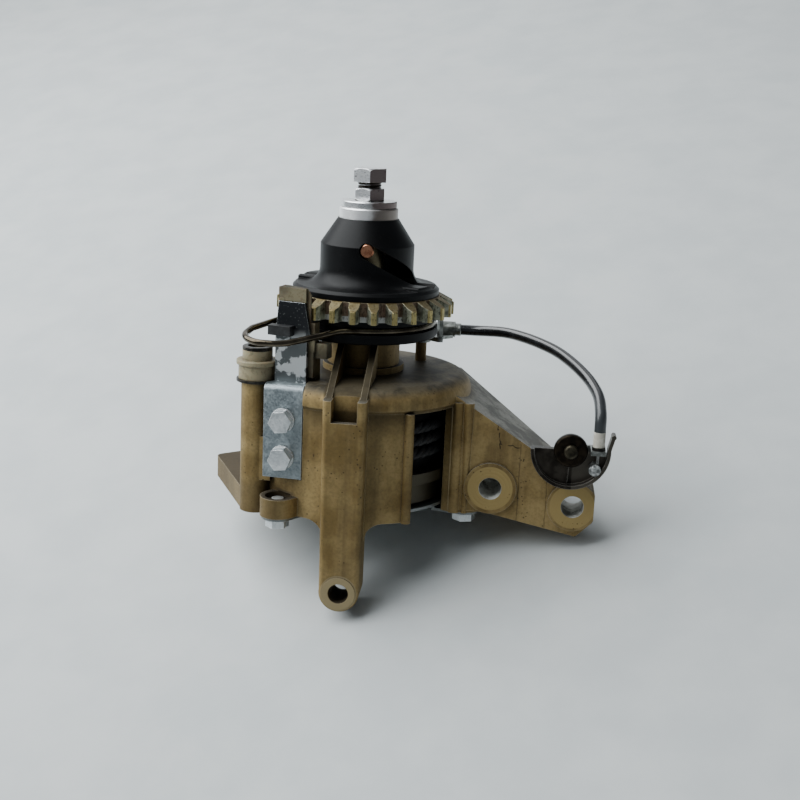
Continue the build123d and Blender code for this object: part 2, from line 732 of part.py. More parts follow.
def make_housing():
    body = shell_outside() + neck()
    body += left_tube() + foot() + ears() + bracket_pad() + window_lips()
    body += box_bracket() + arm_root()
    body += column(PAWL_POST_R, CEILING, PAWL_POST_TOP, PAWL_X, PAWL_Y)
    body -= bracket_leg_cut()
    body -= column(BUSH_COLLAR_R + 0.5, TUBE_TOP, NECK_TOP, TUBE_X, TUBE_Y)
    body += arm() + gussets()
    body -= shell_inside()
    body -= column(JOURNAL_R + RUN_GAP, CEILING - 1, NECK_TOP + 1)
    body -= window_cut() & column(SHELL_R + 0.2, -3, WINDOW_TOP + 1)
    body -= fork_cut()
    body -= bolt_bores()
    body -= ear_cuts()
    body -= column(TUBE_BORE_R, TUBE_TOP - BUSH_SPIGOT - 1, TUBE_TOP + 1, TUBE_X, TUBE_Y)
    body -= column(TUBE_SHAFT_R, FOOT_BOTTOM - 1, TUBE_TOP, TUBE_X, TUBE_Y)
    screw_low = PAWL_POST_TOP - PAWL_SCREW_L - SCREW_HOLE_OVER
    body -= column(PAWL_SCREW_R, screw_low, PAWL_POST_TOP + 1, PAWL_X, PAWL_Y)
    for place in bracket_screw_places():
        depth = BRACKET_SCREW_L + SCREW_HOLE_OVER
        body -= place * barrel(SMALL_SCREW_R + HOLE_GAP, 0, depth, 0, 0)
    return body


def make_bottom_cover():
    # A dished plate inside the rim, with three tabs that step down and out to the ears.
    radius = SHELL_BORE_R - 0.4
    body = column(radius, COVER_RECESS, COVER_TOP)
    for angle in COVER_SCREW_ANGLES:
        half = COVER_TAB_W / 2
        tab = block(radius - 5, COVER_SCREW_CIRCLE, -half, half, -COVER_T, 0)
        tab += column(half, -COVER_T, 0, COVER_SCREW_CIRCLE, 0)
        riser = block(radius - 5, radius - 5 + COVER_T, -half, half, -COVER_T, COVER_TOP)
        hole = column(SMALL_SCREW_R + HOLE_GAP, -COVER_T - 1, 1, COVER_SCREW_CIRCLE, 0)
        body += Rot(0, 0, angle) * (tab + riser - hole)
    body += column(COVER_POST_R, COVER_RECESS, SPOOL_BORE_TOP - COVER_POST_SHY)
    body += block(-1.2, 1.2, 0, SPRING_INNER_R, COVER_TOP, SPOOL_LOW + SPRING_STRIP_H)
    return body - column(COVER_POST_BORE_R, COVER_RECESS - 1, SPOOL_FLANGE_Z + COVER_POST_BORE)


def make_cover_screws():
    # Hexagon screws with a small flange, driven upwards through the cover's tabs.
    body = None
    for angle in COVER_SCREW_ANGLES:
        x, y = on_circle(COVER_SCREW_CIRCLE, angle)
        top = -COVER_T
        screw = column(SMALL_SCREW_R, top, EAR_H - EAR_CUP_DEPTH + 1.0, x, y)
        screw += column(SMALL_FLANGE_R - 0.2, top - SMALL_FLANGE_T, top, x, y)
        low = top - SMALL_FLANGE_T - COVER_HEX_H
        screw += hexagon(SMALL_HEX_AF, low, top - SMALL_FLANGE_T, x, y, 15)
        body = screw if body is None else body + screw
    return body


def spiral_edge(offset, turns, points_per_turn=12):
    points = []
    for i in range(int(turns * points_per_turn) + 1):
        turn = i / points_per_turn
        radius = SPRING_INNER_R + SPRING_PITCH * turn + offset
        angle = 90 + 360 * turn
        points.append((*on_circle(radius, angle), SPOOL_LOW + 0.8))
    return points


def make_recoil_spring():
    # A flat spiral strip that fills the cup under the spool.
    inner = Spline(*spiral_edge(0, SPRING_TURNS))
    outer = Spline(*spiral_edge(SPRING_STRIP_T, SPRING_TURNS))
    start = Line(inner @ 0, outer @ 0)
    end = Line(inner @ 1, outer @ 1)
    strip = make_face(inner + outer + start + end)
    return extrude(strip, amount=SPRING_STRIP_H, dir=(0, 0, 1))


def make_spool():
    # Journal, core, flanges and spring cup, turned as one piece.
    bore = COVER_POST_R + RUN_GAP
    body = turned(
        [
            (0, SPOOL_BORE_TOP),
            (bore, SPOOL_BORE_TOP),
            (bore, SPOOL_FLANGE_Z),
            (SPOOL_CUP_R - SPOOL_CUP_WALL, SPOOL_FLANGE_Z),
            (SPOOL_CUP_R - SPOOL_CUP_WALL, SPOOL_LOW),
            (SPOOL_CUP_R, SPOOL_LOW),
            (SPOOL_CUP_R, SPOOL_FLANGE_Z),
            (SPOOL_FLANGE_R, SPOOL_FLANGE_Z),
            (SPOOL_FLANGE_R, ROPE_Z),
            (SPOOL_CORE_R, ROPE_Z),
            (SPOOL_CORE_R, SPOOL_TOP_FLANGE_Z),
            (SPOOL_FLANGE_R, SPOOL_TOP_FLANGE_Z),
            (SPOOL_FLANGE_R - 1.5, SPOOL_TOP_FLANGE_Z + SPOOL_TOP_FLANGE_T),
            (SPOOL_SHOULDER_R, SPOOL_TOP_FLANGE_Z + SPOOL_TOP_FLANGE_T),
            (SPOOL_SHOULDER_R, SPOOL_TOP),
            (JOURNAL_R, SPOOL_TOP),
            (JOURNAL_R, HUB_BUSH_TOP),
            (JOURNAL_WAIST_R, HUB_BUSH_TOP),
            (JOURNAL_WAIST_R, HUB_TOP - JOURNAL_LAND),
            (JOURNAL_R, HUB_TOP - JOURNAL_LAND),
            (JOURNAL_R, JOURNAL_TOP - 0.5),
            (JOURNAL_R - 0.5, JOURNAL_TOP),
            (0, JOURNAL_TOP),
        ]
    )
    body -= column(BOLT_R + HOLE_GAP, JOURNAL_TOP - BOLT_REACH - 2, JOURNAL_TOP + 1)
    return body - pin_shape(PIN_R)


def pin_shape(radius, reach=None):
    length = reach if reach else JOURNAL_R + 5
    pin = Rot(90, 0, 0) * Cylinder(radius, 2 * length)
    return Pos(0, 0, PIN_Z) * Rot(0, 0, PIN_ANGLE + 90) * pin


def make_drive_pin():
    pin = pin_shape(PIN_R, HUB_R - PIN_INSET)
    ends = pin.edges().filter_by(GeomType.CIRCLE)
    pin = chamfer(ends, 0.4)
    return pin - column(BOLT_R + HOLE_GAP, PIN_Z - 5, PIN_Z + 5)


def make_rope():
    # The wound rope: turns side by side in layers, drawn as one ribbed ring.
    height = SPOOL_TOP_FLANGE_Z - ROPE_Z
    turns = int(height / ROPE_D)
    pitch = height / turns
    outer = SPOOL_CORE_R + ROPE_D * ROPE_LAYERS - ROPE_D / 2
    body = tube(outer, SPOOL_CORE_R, ROPE_Z, SPOOL_TOP_FLANGE_Z)
    for i in range(turns):
        z = ROPE_Z + pitch * (i + 0.5)
        body += Pos(0, 0, z) * Torus(outer, pitch / 2 - 0.02)
    return body


def make_center_bolt():
    nut_top = JOURNAL_TOP + WASHER_T + NUT_H
    head = nut_top + BOLT_SHOW
    body = chamfered_hexagon(BOLT_HEX_AF, head, head + BOLT_HEX_H, 36.7)
    return body + column(BOLT_R, JOURNAL_TOP - BOLT_REACH, head)


def make_lock_nut():
    low = JOURNAL_TOP + WASHER_T
    body = chamfered_hexagon(NUT_AF, low, low + NUT_H, 38.9, True)
    return body - column(BOLT_R + HOLE_GAP, low - 1, low + NUT_H + 1)


def make_top_washer():
    body = tube(WASHER_R, BOLT_R + HOLE_GAP, JOURNAL_TOP, JOURNAL_TOP + WASHER_T)
    rims = body.edges().filter_by(GeomType.CIRCLE).sort_by(SortBy.RADIUS)[-2:]
    return chamfer(rims, 0.3)


def hub_profile():
    # Outside of the hub: cone, cylinder, flared foot, flange and the grooved lower part.
    foot_z = HUB_Z + HUB_FILLET
    foot_r = HUB_R + HUB_FILLET
    mid = HUB_FILLET * (1 - cos(radians(45)))
    upper = Polyline(
        (0, 0, HUB_TOP),
        (HUB_TOP_R - 0.4, 0, HUB_TOP),
        (HUB_TOP_R, 0, HUB_TOP - 0.6),
        (HUB_R, 0, CONE_Z),
        (HUB_R, 0, foot_z),
    )
    flare = ThreePointArc((HUB_R, 0, foot_z), (HUB_R + mid, 0, HUB_Z + mid), (foot_r, 0, HUB_Z))
    lower = Polyline(
        (foot_r, 0, HUB_Z),
        (FLANGE_R - 1.2, 0, HUB_Z),
        (FLANGE_R, 0, HUB_Z - 1.2),
        (FLANGE_R, 0, FLANGE_Z),
        (GEAR_BORE_R, 0, FLANGE_Z),
        (GEAR_BORE_R, 0, GEAR_Z),
        (RING_R, 0, GEAR_Z),
        (RING_R, 0, RING_Z),
        (GROOVE_R, 0, RING_Z),
        (GROOVE_R, 0, GROOVE_Z),
        (DISC_R, 0, GROOVE_Z),
        (DISC_R, 0, PINION_Z + 0.6),
        (DISC_R - 0.6, 0, PINION_Z),
        (0, 0, PINION_Z),
        (0, 0, HUB_TOP),
    )
    return make_face(upper + flare + lower)


def slot_cutter():
    # The helical slot: a bar swept round the hub, with a round end at top and bottom.
    pitch = RISE * 360 / TWIST
    mean = HUB_R - 1
    length = 2 * (FLANGE_R - mean) + 6
    path = Helix(pitch, RISE, mean)
    start = path @ 0
    section = Plane(origin=start, x_dir=(1, 0, 0), z_dir=path % 0) * Rectangle(length, 2 * SLOT_R)
    bar = sweep(section, path, is_frenet=True)
    low = Pos(mean, 0, 0) * Rot(0, 90, 0) * Cylinder(SLOT_R, length)
    high = Rot(0, 0, TWIST) * Pos(0, 0, RISE) * low
    # The helix climbs with growing angle. Mirrored, it climbs the other way.
    cutter = mirror(bar + low + high, about=Plane.XZ)
    return Pos(0, 0, SLOT_LOW_Z) * Rot(0, 0, PIN_ANGLE + TWIST) * cutter


def lobes():
    # Raised lobes on the flange where the slots run out.
    body = None
    for half_turn in (0, 180):
        lobe = block(0, FLANGE_R - 1.0, -LOBE_W / 2, LOBE_W / 2, HUB_Z - 1, HUB_Z + LOBE_H)
        lobe &= column(FLANGE_R - 1.0, HUB_Z - 2, HUB_Z + LOBE_H + 1)
        crown = lobe.faces().sort_by(Axis.Z)[-1].edges()
        lobe = fillet(crown, LOBE_ROUND)
        lobe = Rot(0, 0, PIN_ANGLE + TWIST - LOBE_LEAD + half_turn) * lobe
        body = lobe if body is None else body + lobe
    return body


def make_pinion_hub():
    body = revolve(hub_profile(), Axis.Z) + lobes()
    cutter = slot_cutter()
    body -= cutter
    body -= Rot(0, 0, 180) * cutter
    body -= column(HUB_BORE_R, PINION_Z - 1, HUB_TOP + 1)
    return body - column(HUB_COUNTERBORE_R, PINION_Z - 1, HUB_BUSH_TOP + 0.1)


def make_hub_bush():
    return tube(HUB_BUSH_R, HUB_BORE_R, PINION_Z + 0.2, HUB_BUSH_TOP)


def tooth_outline():
    # One gap after another: root land, flank, tip land, flank, all round.
    pitch_r = MODULE * PINION_TEETH / 2
    root_r = pitch_r - 1.25 * MODULE
    tip_r = pitch_r + MODULE
    step = 360 / PINION_TEETH
    half_pitch = 90 / PINION_TEETH
    points = []
    for i in range(PINION_TEETH):
        centre = TOOTH_PHASE + i * step
        for radius, share in ((root_r, -1.24), (pitch_r, -1.0), (tip_r, -0.40)):
            points.append(on_circle(radius, centre + share * half_pitch))
        for radius, share in ((tip_r, 0.40), (pitch_r, 1.0), (root_r, 1.24)):
            points.append(on_circle(radius, centre + share * half_pitch))
    return points


def make_pinion_gear():
    tip_r = MODULE * (PINION_TEETH / 2 + 1)
    root_r = MODULE * (PINION_TEETH / 2 - 1.25)
    outline = make_face(Polyline(*tooth_outline(), close=True))
    body = Pos(0, 0, GEAR_Z) * extrude(outline, GEAR_W)
    blank = turned(
        [
            (GEAR_BORE_R, GEAR_Z),
            (tip_r + 0.5, GEAR_Z),
            (tip_r + 0.5, FLANGE_Z - TOOTH_BEVEL - 0.2),
            (root_r, FLANGE_Z),
            (GEAR_BORE_R, FLANGE_Z),
        ]
    )
    return body & blank


def loop_path():
    # Round the groove, then out to a loop that droops a little and embraces the guide.
    back = Vector(*LOOP_BACK)
    reach = back.length
    leave = degrees(atan2(back.Y, back.X)) - degrees(acos(WIRE_LINE_R / reach)) + 360
    free = SPRING_END_ANGLE
    half_gap = SPRING_END_GAP / 2
    centre = (0, 0, WIRE_Z)
    ring1 = CenterArc(centre, WIRE_LINE_R, LOOP_ENTRY_ANGLE, free - half_gap - LOOP_ENTRY_ANGLE)
    ring2 = CenterArc(centre, WIRE_LINE_R, free + half_gap, leave - free - half_gap)
    entry = on_circle(WIRE_LINE_R, LOOP_ENTRY_ANGLE)
    away = (sin(radians(LOOP_ENTRY_ANGLE)), -cos(radians(LOOP_ENTRY_ANGLE)))
    knee = (entry[0] + away[0] * LOOP_ENTRY_RUN, entry[1] + away[1] * LOOP_ENTRY_RUN, WIRE_Z)
    out = on_circle(WIRE_LINE_R, leave)
    points = [
        (entry[0], entry[1], WIRE_Z),
        knee,
        (*LOOP_FRONT, WIRE_Z - LOOP_DROOP_FRONT),
        (*LOOP_CORNER, WIRE_Z - LOOP_DROOP_CORNER),
        (*LOOP_BACK, WIRE_Z - LOOP_DROOP_BACK),
        (out[0], out[1], WIRE_Z),
    ]
    loop = FilletPolyline(*points, radius=LOOP_BENDS)
    return ring1, loop, ring2


def make_brake_spring():
    ring1, loop, ring2 = loop_path()
    path = Wire(ring1.edges() + loop.edges() + ring2.edges())
    section = Plane(origin=ring1 @ 1, z_dir=ring1 % 1) * Circle(WIRE_R)
    return sweep(section, path)


def guide_place():
    return Pos(GUIDE_X, GUIDE_Y, 0) * Rot(0, 0, GUIDE_TURN)


def make_guide_plate():
    low = GUIDE_W_LOW / 2
    step = GUIDE_STEP
    points = [(-low, GUIDE_Z), (low, GUIDE_Z), (low, GUIDE_Z + step), (GUIDE_W_MID - low, GUIDE_Z + step + 1)]
    top = GUIDE_Z + GUIDE_H
    points += [(GUIDE_W_TOP - low + GUIDE_TOP_SHIFT, top), (GUIDE_TOP_SHIFT - low, top)]
    points += [(-low, GUIDE_Z + step)]
    plate = in_front_plane(points, 0, GUIDE_T)
    plate += block(-low, low, 0, GUIDE_FOOT, GUIDE_Z, GUIDE_Z + GUIDE_T)
    return guide_place() * plate


def make_guide_block():
    # The nylon bar behind the steel face: wide head with a bevelled corner, slim stem.
    left = -GUIDE_W_LOW / 2
    right = left + BLOCK_W
    top = GUIDE_Z + GUIDE_H + BLOCK_OVER
    low = GUIDE_Z + BLOCK_STEM_H
    front = GUIDE_T + 0.05
    points = [(left, low), (right, low), (right, top - BLOCK_BEVEL * 1.3)]
    points += [(right - BLOCK_BEVEL, top), (left + 1, top)]
    body = in_front_plane(points, front, front + BLOCK_DEPTH)
    nose = [(left + 1, GUIDE_Z + GUIDE_H), (right - BLOCK_BEVEL, GUIDE_Z + GUIDE_H)]
    nose += [(right - BLOCK_BEVEL, top), (left + 1, top)]
    body += in_front_plane(nose, 0.3, front + 0.1)
    stem_left = right - BLOCK_STEM_W
    stem_right = right - BLOCK_STEM_IN
    back = front + BLOCK_STEM_DEPTH
    body += block(stem_left, stem_right, front, back, GUIDE_Z + GUIDE_T + 1, low)
    body += block(stem_left, stem_right, GUIDE_FOOT + 0.1, back, SHELL_H + 0.02, GUIDE_Z + BLOCK_FOOT_H)
    lug_low = low - BLOCK_LUG_DROP
    lug_back = front + 1 + BLOCK_LUG_DEPTH
    lug_left = right - BLOCK_LUG_IN
    body += block(lug_left, lug_left + BLOCK_LUG_W, front + 1, lug_back, lug_low, lug_low + BLOCK_LUG_H)
    tip_r = MODULE * (PINION_TEETH / 2 + 1)
    body = guide_place() * body - column(tip_r + BLOCK_CLEARANCE, GEAR_Z - BLOCK_CLEARANCE, top + 1)
    return body - column(DISC_R + BLOCK_CLEARANCE, PINION_Z - BLOCK_CLEARANCE, top + 1)


def make_guide_stop():
    # The black block across the plate that the spring's loop closes on.
    left = -GUIDE_W_LOW / 2 - STOP_LEFT
    low = GUIDE_Z + STOP_Z
    body = block(left, left + STOP_W, -STOP_DEPTH, -0.02, low, low + STOP_H)
    return guide_place() * body


def make_anchor_bracket():
    half = BRACKET_W / 2
    low = BRACKET_TOP - BRACKET_H
    profile = [(0, low), (0, BRACKET_TOP), (BRACKET_LEG, BRACKET_TOP)]
    under = BRACKET_TOP - BRACKET_T
    profile += [(BRACKET_LEG, under), (BRACKET_T, under), (BRACKET_T, low)]
    outline = make_face(Polyline(*[(-half, y, z) for y, z in profile], close=True))
    body = extrude(outline, amount=BRACKET_W, dir=(1, 0, 0))
    bend = body.edges().filter_by(Axis.X).sort_by(Axis.Z)[-2:].sort_by(Axis.Y)[0]
    body = fillet(bend, BRACKET_BEND)
    for drop in BRACKET_HOLES:
        body -= barrel(SMALL_SCREW_R + HOLE_GAP, -1, BRACKET_T + 1, 0, BRACKET_TOP - drop)
    body = Pos(BRACKET_X, BRACKET_Y, 0) * Rot(0, 0, BRACKET_TURN) * body
    low_cut = BRACKET_TOP - BRACKET_T - BRACKET_BEND
    return body - column(BUSH_COLLAR_R + 0.3, low_cut, BRACKET_TOP + 1, TUBE_X, TUBE_Y)


def make_bracket_screws():
    screws = None
    for place in bracket_screw_places():
        screw = column(SMALL_FLANGE_R, 0, SMALL_FLANGE_T)
        screw += hexagon(SMALL_HEX_AF, SMALL_FLANGE_T, SMALL_FLANGE_T + SMALL_HEX_H, turn=8)
        screw += column(SMALL_SCREW_R, -BRACKET_SCREW_L, 0)
        screw = place * Rot(90, 0, 0) * screw
        screws = screw if screws is None else screws + screw
    return screws


def make_shaft_bushing():
    # A flanged nylon bushing whose spigot sits in the tube.
    skirt = TUBE_TOP + CLIP_T
    collar = skirt + BUSH_SKIRT_H
    neck_z = collar + BUSH_COLLAR_H
    body = column(TUBE_BORE_R, TUBE_TOP - BUSH_SPIGOT, skirt, TUBE_X, TUBE_Y)
    body += column(BUSH_SKIRT_R, skirt, collar, TUBE_X, TUBE_Y)
    rim = column(BUSH_COLLAR_R, collar, neck_z, TUBE_X, TUBE_Y)
    body += fillet(rim.edges().filter_by(GeomType.CIRCLE), 0.5)
    body += column(BUSH_NECK_R, neck_z, neck_z + BUSH_NECK_H, TUBE_X, TUBE_Y)
    return body - column(BUSH_BORE_R, TUBE_TOP - BUSH_SPIGOT - 1, neck_z + BUSH_NECK_H + 1, TUBE_X, TUBE_Y)


def make_bushing_clip():
    return tube(CLIP_R, TUBE_BORE_R + 0.05, TUBE_TOP, TUBE_TOP + CLIP_T, TUBE_X, TUBE_Y)


def make_bushing_ring():
    low = TUBE_TOP + CLIP_T + BUSH_SKIRT_H + BUSH_COLLAR_H + BUSH_NECK_H
    body = tube(BUSH_NECK_R, BUSH_BORE_R + 0.4, low, low + CAP_RING_T, TUBE_X, TUBE_Y)
    rims = body.edges().filter_by(GeomType.CIRCLE).sort_by(SortBy.RADIUS)[-2:]
    return fillet(rims, 0.4)


def pawl_bar(x, y, low, high):
    dx = x - PAWL_X
    dy = y - PAWL_Y
    bar = block(0, hypot(dx, dy), -PAWL_ARM_W / 2, PAWL_ARM_W / 2, low, high)
    bar = Pos(PAWL_X, PAWL_Y, 0) * Rot(0, 0, degrees(atan2(dy, dx))) * bar
    return bar + column(PAWL_ARM_W / 2, low, high, x, y)


def make_lockout_pawl():
    # A bell crank: the cable pulls one arm, the other carries a hook beside the hub's disc.
    low = PAWL_Z
    high = low + PAWL_T
    hook_top = GEAR_Z - PAWL_UNDER_GEAR
    x, y = on_circle(PAWL_HOOK_R, PAWL_HOOK_ANGLE)
    body = column(PAWL_EYE_R, low, high, PAWL_X, PAWL_Y)
    body += pawl_bar(PAWL_ARM_X, PAWL_ARM_Y, low, high)
    body += pawl_bar(x, y, low, high) & column(PAWL_HOOK_R + PAWL_HOOK_STEM / 2, low - 1, high + 1)
    half = PAWL_HOOK_W / 2
    near = PAWL_HOOK_R - PAWL_HOOK_STEM / 2
    hook = block(near, PAWL_HOOK_R + PAWL_HOOK_STEM / 2, -half, half, low, hook_top)
    hook += block(near - PAWL_NOSE, near, -half, half, GROOVE_Z + PAWL_OVER_DISC, hook_top)
    body += Rot(0, 0, PAWL_HOOK_ANGLE) * hook
    return body - column(PAWL_BORE_R, low - 1, high + 1, PAWL_X, PAWL_Y)


def make_pawl_screw():
    top = PAWL_Z + PAWL_T + 0.1
    body = column(PAWL_SCREW_R, PAWL_POST_TOP - PAWL_SCREW_L, top, PAWL_X, PAWL_Y)
    return body + column(PAWL_HEAD_R, top, top + PAWL_HEAD_T, PAWL_X, PAWL_Y)


def along_x(radius, x0, x1, y, z):
    body = Cylinder(radius, x1 - x0, align=(Align.CENTER, Align.CENTER, Align.MIN))
    return Pos(x0, y, z) * Rot(0, 90, 0) * body


def make_upper_wire():
    start = PAWL_ARM_X + PAWL_ARM_W / 2 + 0.01
    wire = along_x(WIRE_ROPE_R, start - 1, UPPER_FERRULE_X + UPPER_WIRE_REACH, CABLE_Y, CABLE_Z)
    return wire - make_lockout_pawl()


def make_upper_ferrule():
    # A turned end piece with a wide mouth, in which the inner wire can swing.
    start = UPPER_FERRULE_X
    end = SHEATH_START_X - 0.01
    body = along_x(FERRULE_R, start, end, CABLE_Y, CABLE_Z)
    body = fillet(body.edges().filter_by(GeomType.CIRCLE), 0.4)
    body -= along_x(UPPER_FERRULE_MOUTH_R, start - 1, start + UPPER_FERRULE_MOUTH, CABLE_Y, CABLE_Z)
    return body - along_x(WIRE_ROPE_R + 0.3, start, end + 1, CABLE_Y, CABLE_Z)


def make_cable_clamp():
    # A steel strip under the pawl's eye, with a loop that grips the ferrule.
    low = PAWL_POST_TOP
    high = low + CLAMP_T
    x0 = UPPER_FERRULE_X + CLAMP_FROM
    x1 = x0 + CLAMP_W
    body = column(CLAMP_EYE_R, low, high, PAWL_X, PAWL_Y)
    mid = (x0 + x1) / 2
    dx = mid - PAWL_X
    dy = CABLE_Y - CLAMP_STRIP_OFF - PAWL_Y
    half = CLAMP_STRIP_W / 2
    strip = block(0, hypot(dx, dy) + CLAMP_STRIP_OVER, -half, half, low, high)
    body += Pos(PAWL_X, PAWL_Y, 0) * Rot(0, 0, degrees(atan2(dy, dx))) * strip
    body += along_x(FERRULE_R + CLAMP_GRIP_T, x0, x1, CABLE_Y, CABLE_Z)
    body -= along_x(FERRULE_R + 0.02, x0 - 5, x1 + 5, CABLE_Y, CABLE_Z)
    return body - column(PAWL_SCREW_R + HOLE_GAP, low - 1, high + 1, PAWL_X, PAWL_Y)


def cable_points():
    start = (SHEATH_START_X, CABLE_Y, CABLE_Z)
    end = (LOWER_CABLE_X, LOWER_CABLE_Y, SHEATH_END_Z)
    first = (CABLE_STRAIGHT_X, CABLE_Y, CABLE_Z)
    last = (LOWER_CABLE_X, LOWER_CABLE_Y, CABLE_DROP_Z)
    return [start, first] + CABLE_ROUTE + [last, end]


def bend_radii(points):
    # The largest arc that each corner's two runs allow.
    radii = []
    for before, here, after in zip(points, points[1:], points[2:]):
        run_in = Vector(*here) - Vector(*before)
        run_out = Vector(*after) - Vector(*here)
        turn = radians(run_in.get_angle(run_out))
        radii.append(CABLE_BEND_SHARE * min(run_in.length, run_out.length) / tan(turn / 2))
    return radii


def make_cable_sheath():
    points = cable_points()
    radii = bend_radii(points)
    path = FilletPolyline(*points, radius=radii)
    first = Vector(*points[1]) - Vector(*points[0])
    section = Plane(origin=points[0], z_dir=first) * Circle(SHEATH_R)
    body = sweep(section, path)
    print("cable bend radii", [round(r, 1) for r in radii], "length", round(path.length, 1))
    print("cable volume share", round(body.volume / (pi * SHEATH_R**2 * path.length), 4))
    return body


def make_lower_ferrule():
    bore = WIRE_ROPE_R + WIRE_ROPE_GAP
    body = column(SHEATH_R + 0.05, LOWER_FERRULE_Z, SHEATH_END_Z - 0.01, LOWER_CABLE_X, LOWER_CABLE_Y)
    return body - column(bore, LOWER_FERRULE_Z - 1, SHEATH_END_Z + 1, LOWER_CABLE_X, LOWER_CABLE_Y)


def make_ferrule_ring():
    outer = FERRULE_R - 0.1
    bore = WIRE_ROPE_R + WIRE_ROPE_GAP
    return tube(outer, bore, FERRULE_RING_Z, LOWER_FERRULE_Z, LOWER_CABLE_X, LOWER_CABLE_Y)


def nipple_at():
    return LEVER_X + NIPPLE_DX, LEVER_Z + NIPPLE_DZ


def make_lower_wire():
    # The bare wire from the nipple up into the cable's end piece.
    low = nipple_at()[1] + NIPPLE_R - WIRE_IN_NIPPLE
    wire = column(WIRE_ROPE_R, low, LOWER_FERRULE_Z + WIRE_IN_FERRULE, LOWER_CABLE_X, LOWER_CABLE_Y)
    return wire - nipple_barrel(0.01)


def nipple_barrel(grow=0.0):
    x, z = nipple_at()
    front = LEVER_PLATE_Y - LEVER_T
    return barrel(NIPPLE_R + grow, front - NIPPLE_L - grow, front, x, z)


def make_cable_nipple():
    return nipple_barrel()


def lever_sector(from_angle, to_angle, radius):
    points = [(0, 0)]
    steps = 12
    for i in range(steps + 1):
        angle = from_angle + (to_angle - from_angle) * i / steps
        points.append(on_circle(radius, angle))
    return points


def lever_rim():
    # The turned-up rim of the lever.
    start = 180.0
    sweep_by = 180.0 + LEVER_FINGER_START
    arc_out = CenterArc((0, 0, 0), LEVER_R, start, sweep_by)
    arc_in = CenterArc((0, 0, 0), LEVER_R - LEVER_RIM_T, start, sweep_by)
    band = make_face(arc_out + arc_in + Line(arc_out @ 0, arc_in @ 0) + Line(arc_out @ 1, arc_in @ 1))
    return extrude(band, LEVER_RIM_DEPTH)


def lever_finger():
    # The rim's end, bent outwards beyond the cable.
    mid = LEVER_R - LEVER_RIM_T / 2
    x0, z0 = on_circle(mid, LEVER_FINGER_START)
    dx = LEVER_FINGER_X - x0
    dz = LEVER_FINGER_Z - z0
    half = LEVER_RIM_T / 2
    bar = block(-0.4, hypot(dx, dz), -half, half, 0, LEVER_RIM_DEPTH)
    bar = Pos(x0, z0, 0) * Rot(0, 0, degrees(atan2(dz, dx))) * bar
    return bar + column(half + 0.25, 0, LEVER_RIM_DEPTH, LEVER_FINGER_X, LEVER_FINGER_Z)


def make_lockout_lever():
    # Drawn flat, facing up, then stood up to face the front.
    half_round = make_face(Polyline(*lever_sector(180, 352, LEVER_R - 0.5), close=True))
    quarter = make_face(Polyline(*lever_sector(180, 268, LEVER_R - 0.5), close=True))
    plate = extrude(half_round, LEVER_T)
    plate += extrude(quarter, LEVER_T + LEVER_THICK_STEP)
    plate += column(LEVER_BUSH_R - 1.2, 0, LEVER_T)
    plate += lever_rim() + lever_finger()
    plate -= column(LEVER_SPIGOT_R + RUN_GAP, -1, LEVER_T + 3)
    return Pos(LEVER_X, LEVER_PLATE_Y, LEVER_Z) * Rot(90, 0, 0) * plate


def make_lever_bush():
    # A headed bush: the lever turns on its spigot, and the screw clamps it to the lug.
    stop_front = BOX_FRONT - CABLE_STOP_T
    head_back = LEVER_PLATE_Y - LEVER_T - LEVER_THICK_STEP - LEVER_PLAY
    body = barrel(LEVER_SPIGOT_R, head_back, stop_front, LEVER_X, LEVER_Z)
    head = barrel(LEVER_BUSH_R, head_back - LEVER_BUSH_HEAD_T, head_back, LEVER_X, LEVER_Z)
    front_rim = head.edges().sort_by(Axis.Y)[0]
    body += fillet(front_rim, 1.2)
    return body - barrel(LEVER_SCREW_R + HOLE_GAP, head_back - 5, stop_front + 1, LEVER_X, LEVER_Z)


def make_lever_screw():
    head_face = LEVER_PLATE_Y - LEVER_T - LEVER_THICK_STEP - LEVER_PLAY - LEVER_BUSH_HEAD_T
    body = barrel(LEVER_SCREW_R, head_face, BOX_FRONT + LUG_DEPTH - 0.4, LEVER_X, LEVER_Z)
    head = barrel(LEVER_SCREW_HEAD_R, head_face - LEVER_SCREW_HEAD_T, head_face, LEVER_X, LEVER_Z)
    return body + fillet(head.edges().sort_by(Axis.Y)[0], 1.3)


def make_cable_stop():
    # A strip clamped behind the lever, bent forward to seat the lower ferrule.
    back = BOX_FRONT
    front = back - CABLE_STOP_T
    half = CABLE_STOP_W / 2
    top = CABLE_STOP_Z + CABLE_STOP_TAB_T
    body = barrel(LEVER_BUSH_R - 1.6, front, back, LEVER_X, LEVER_Z)
    body += block(LEVER_X, LOWER_CABLE_X + half, front, back, top - CABLE_STOP_H, top)
    body += block(LOWER_CABLE_X - half, LOWER_CABLE_X + half, LOWER_CABLE_Y - half, back, CABLE_STOP_Z, top)
    body -= barrel(LEVER_SCREW_R + HOLE_GAP, front - 1, back + 1, LEVER_X, LEVER_Z)
    bore = WIRE_ROPE_R + WIRE_ROPE_GAP
    return body - column(bore, CABLE_STOP_Z - 1, top + 1, LOWER_CABLE_X, LOWER_CABLE_Y)


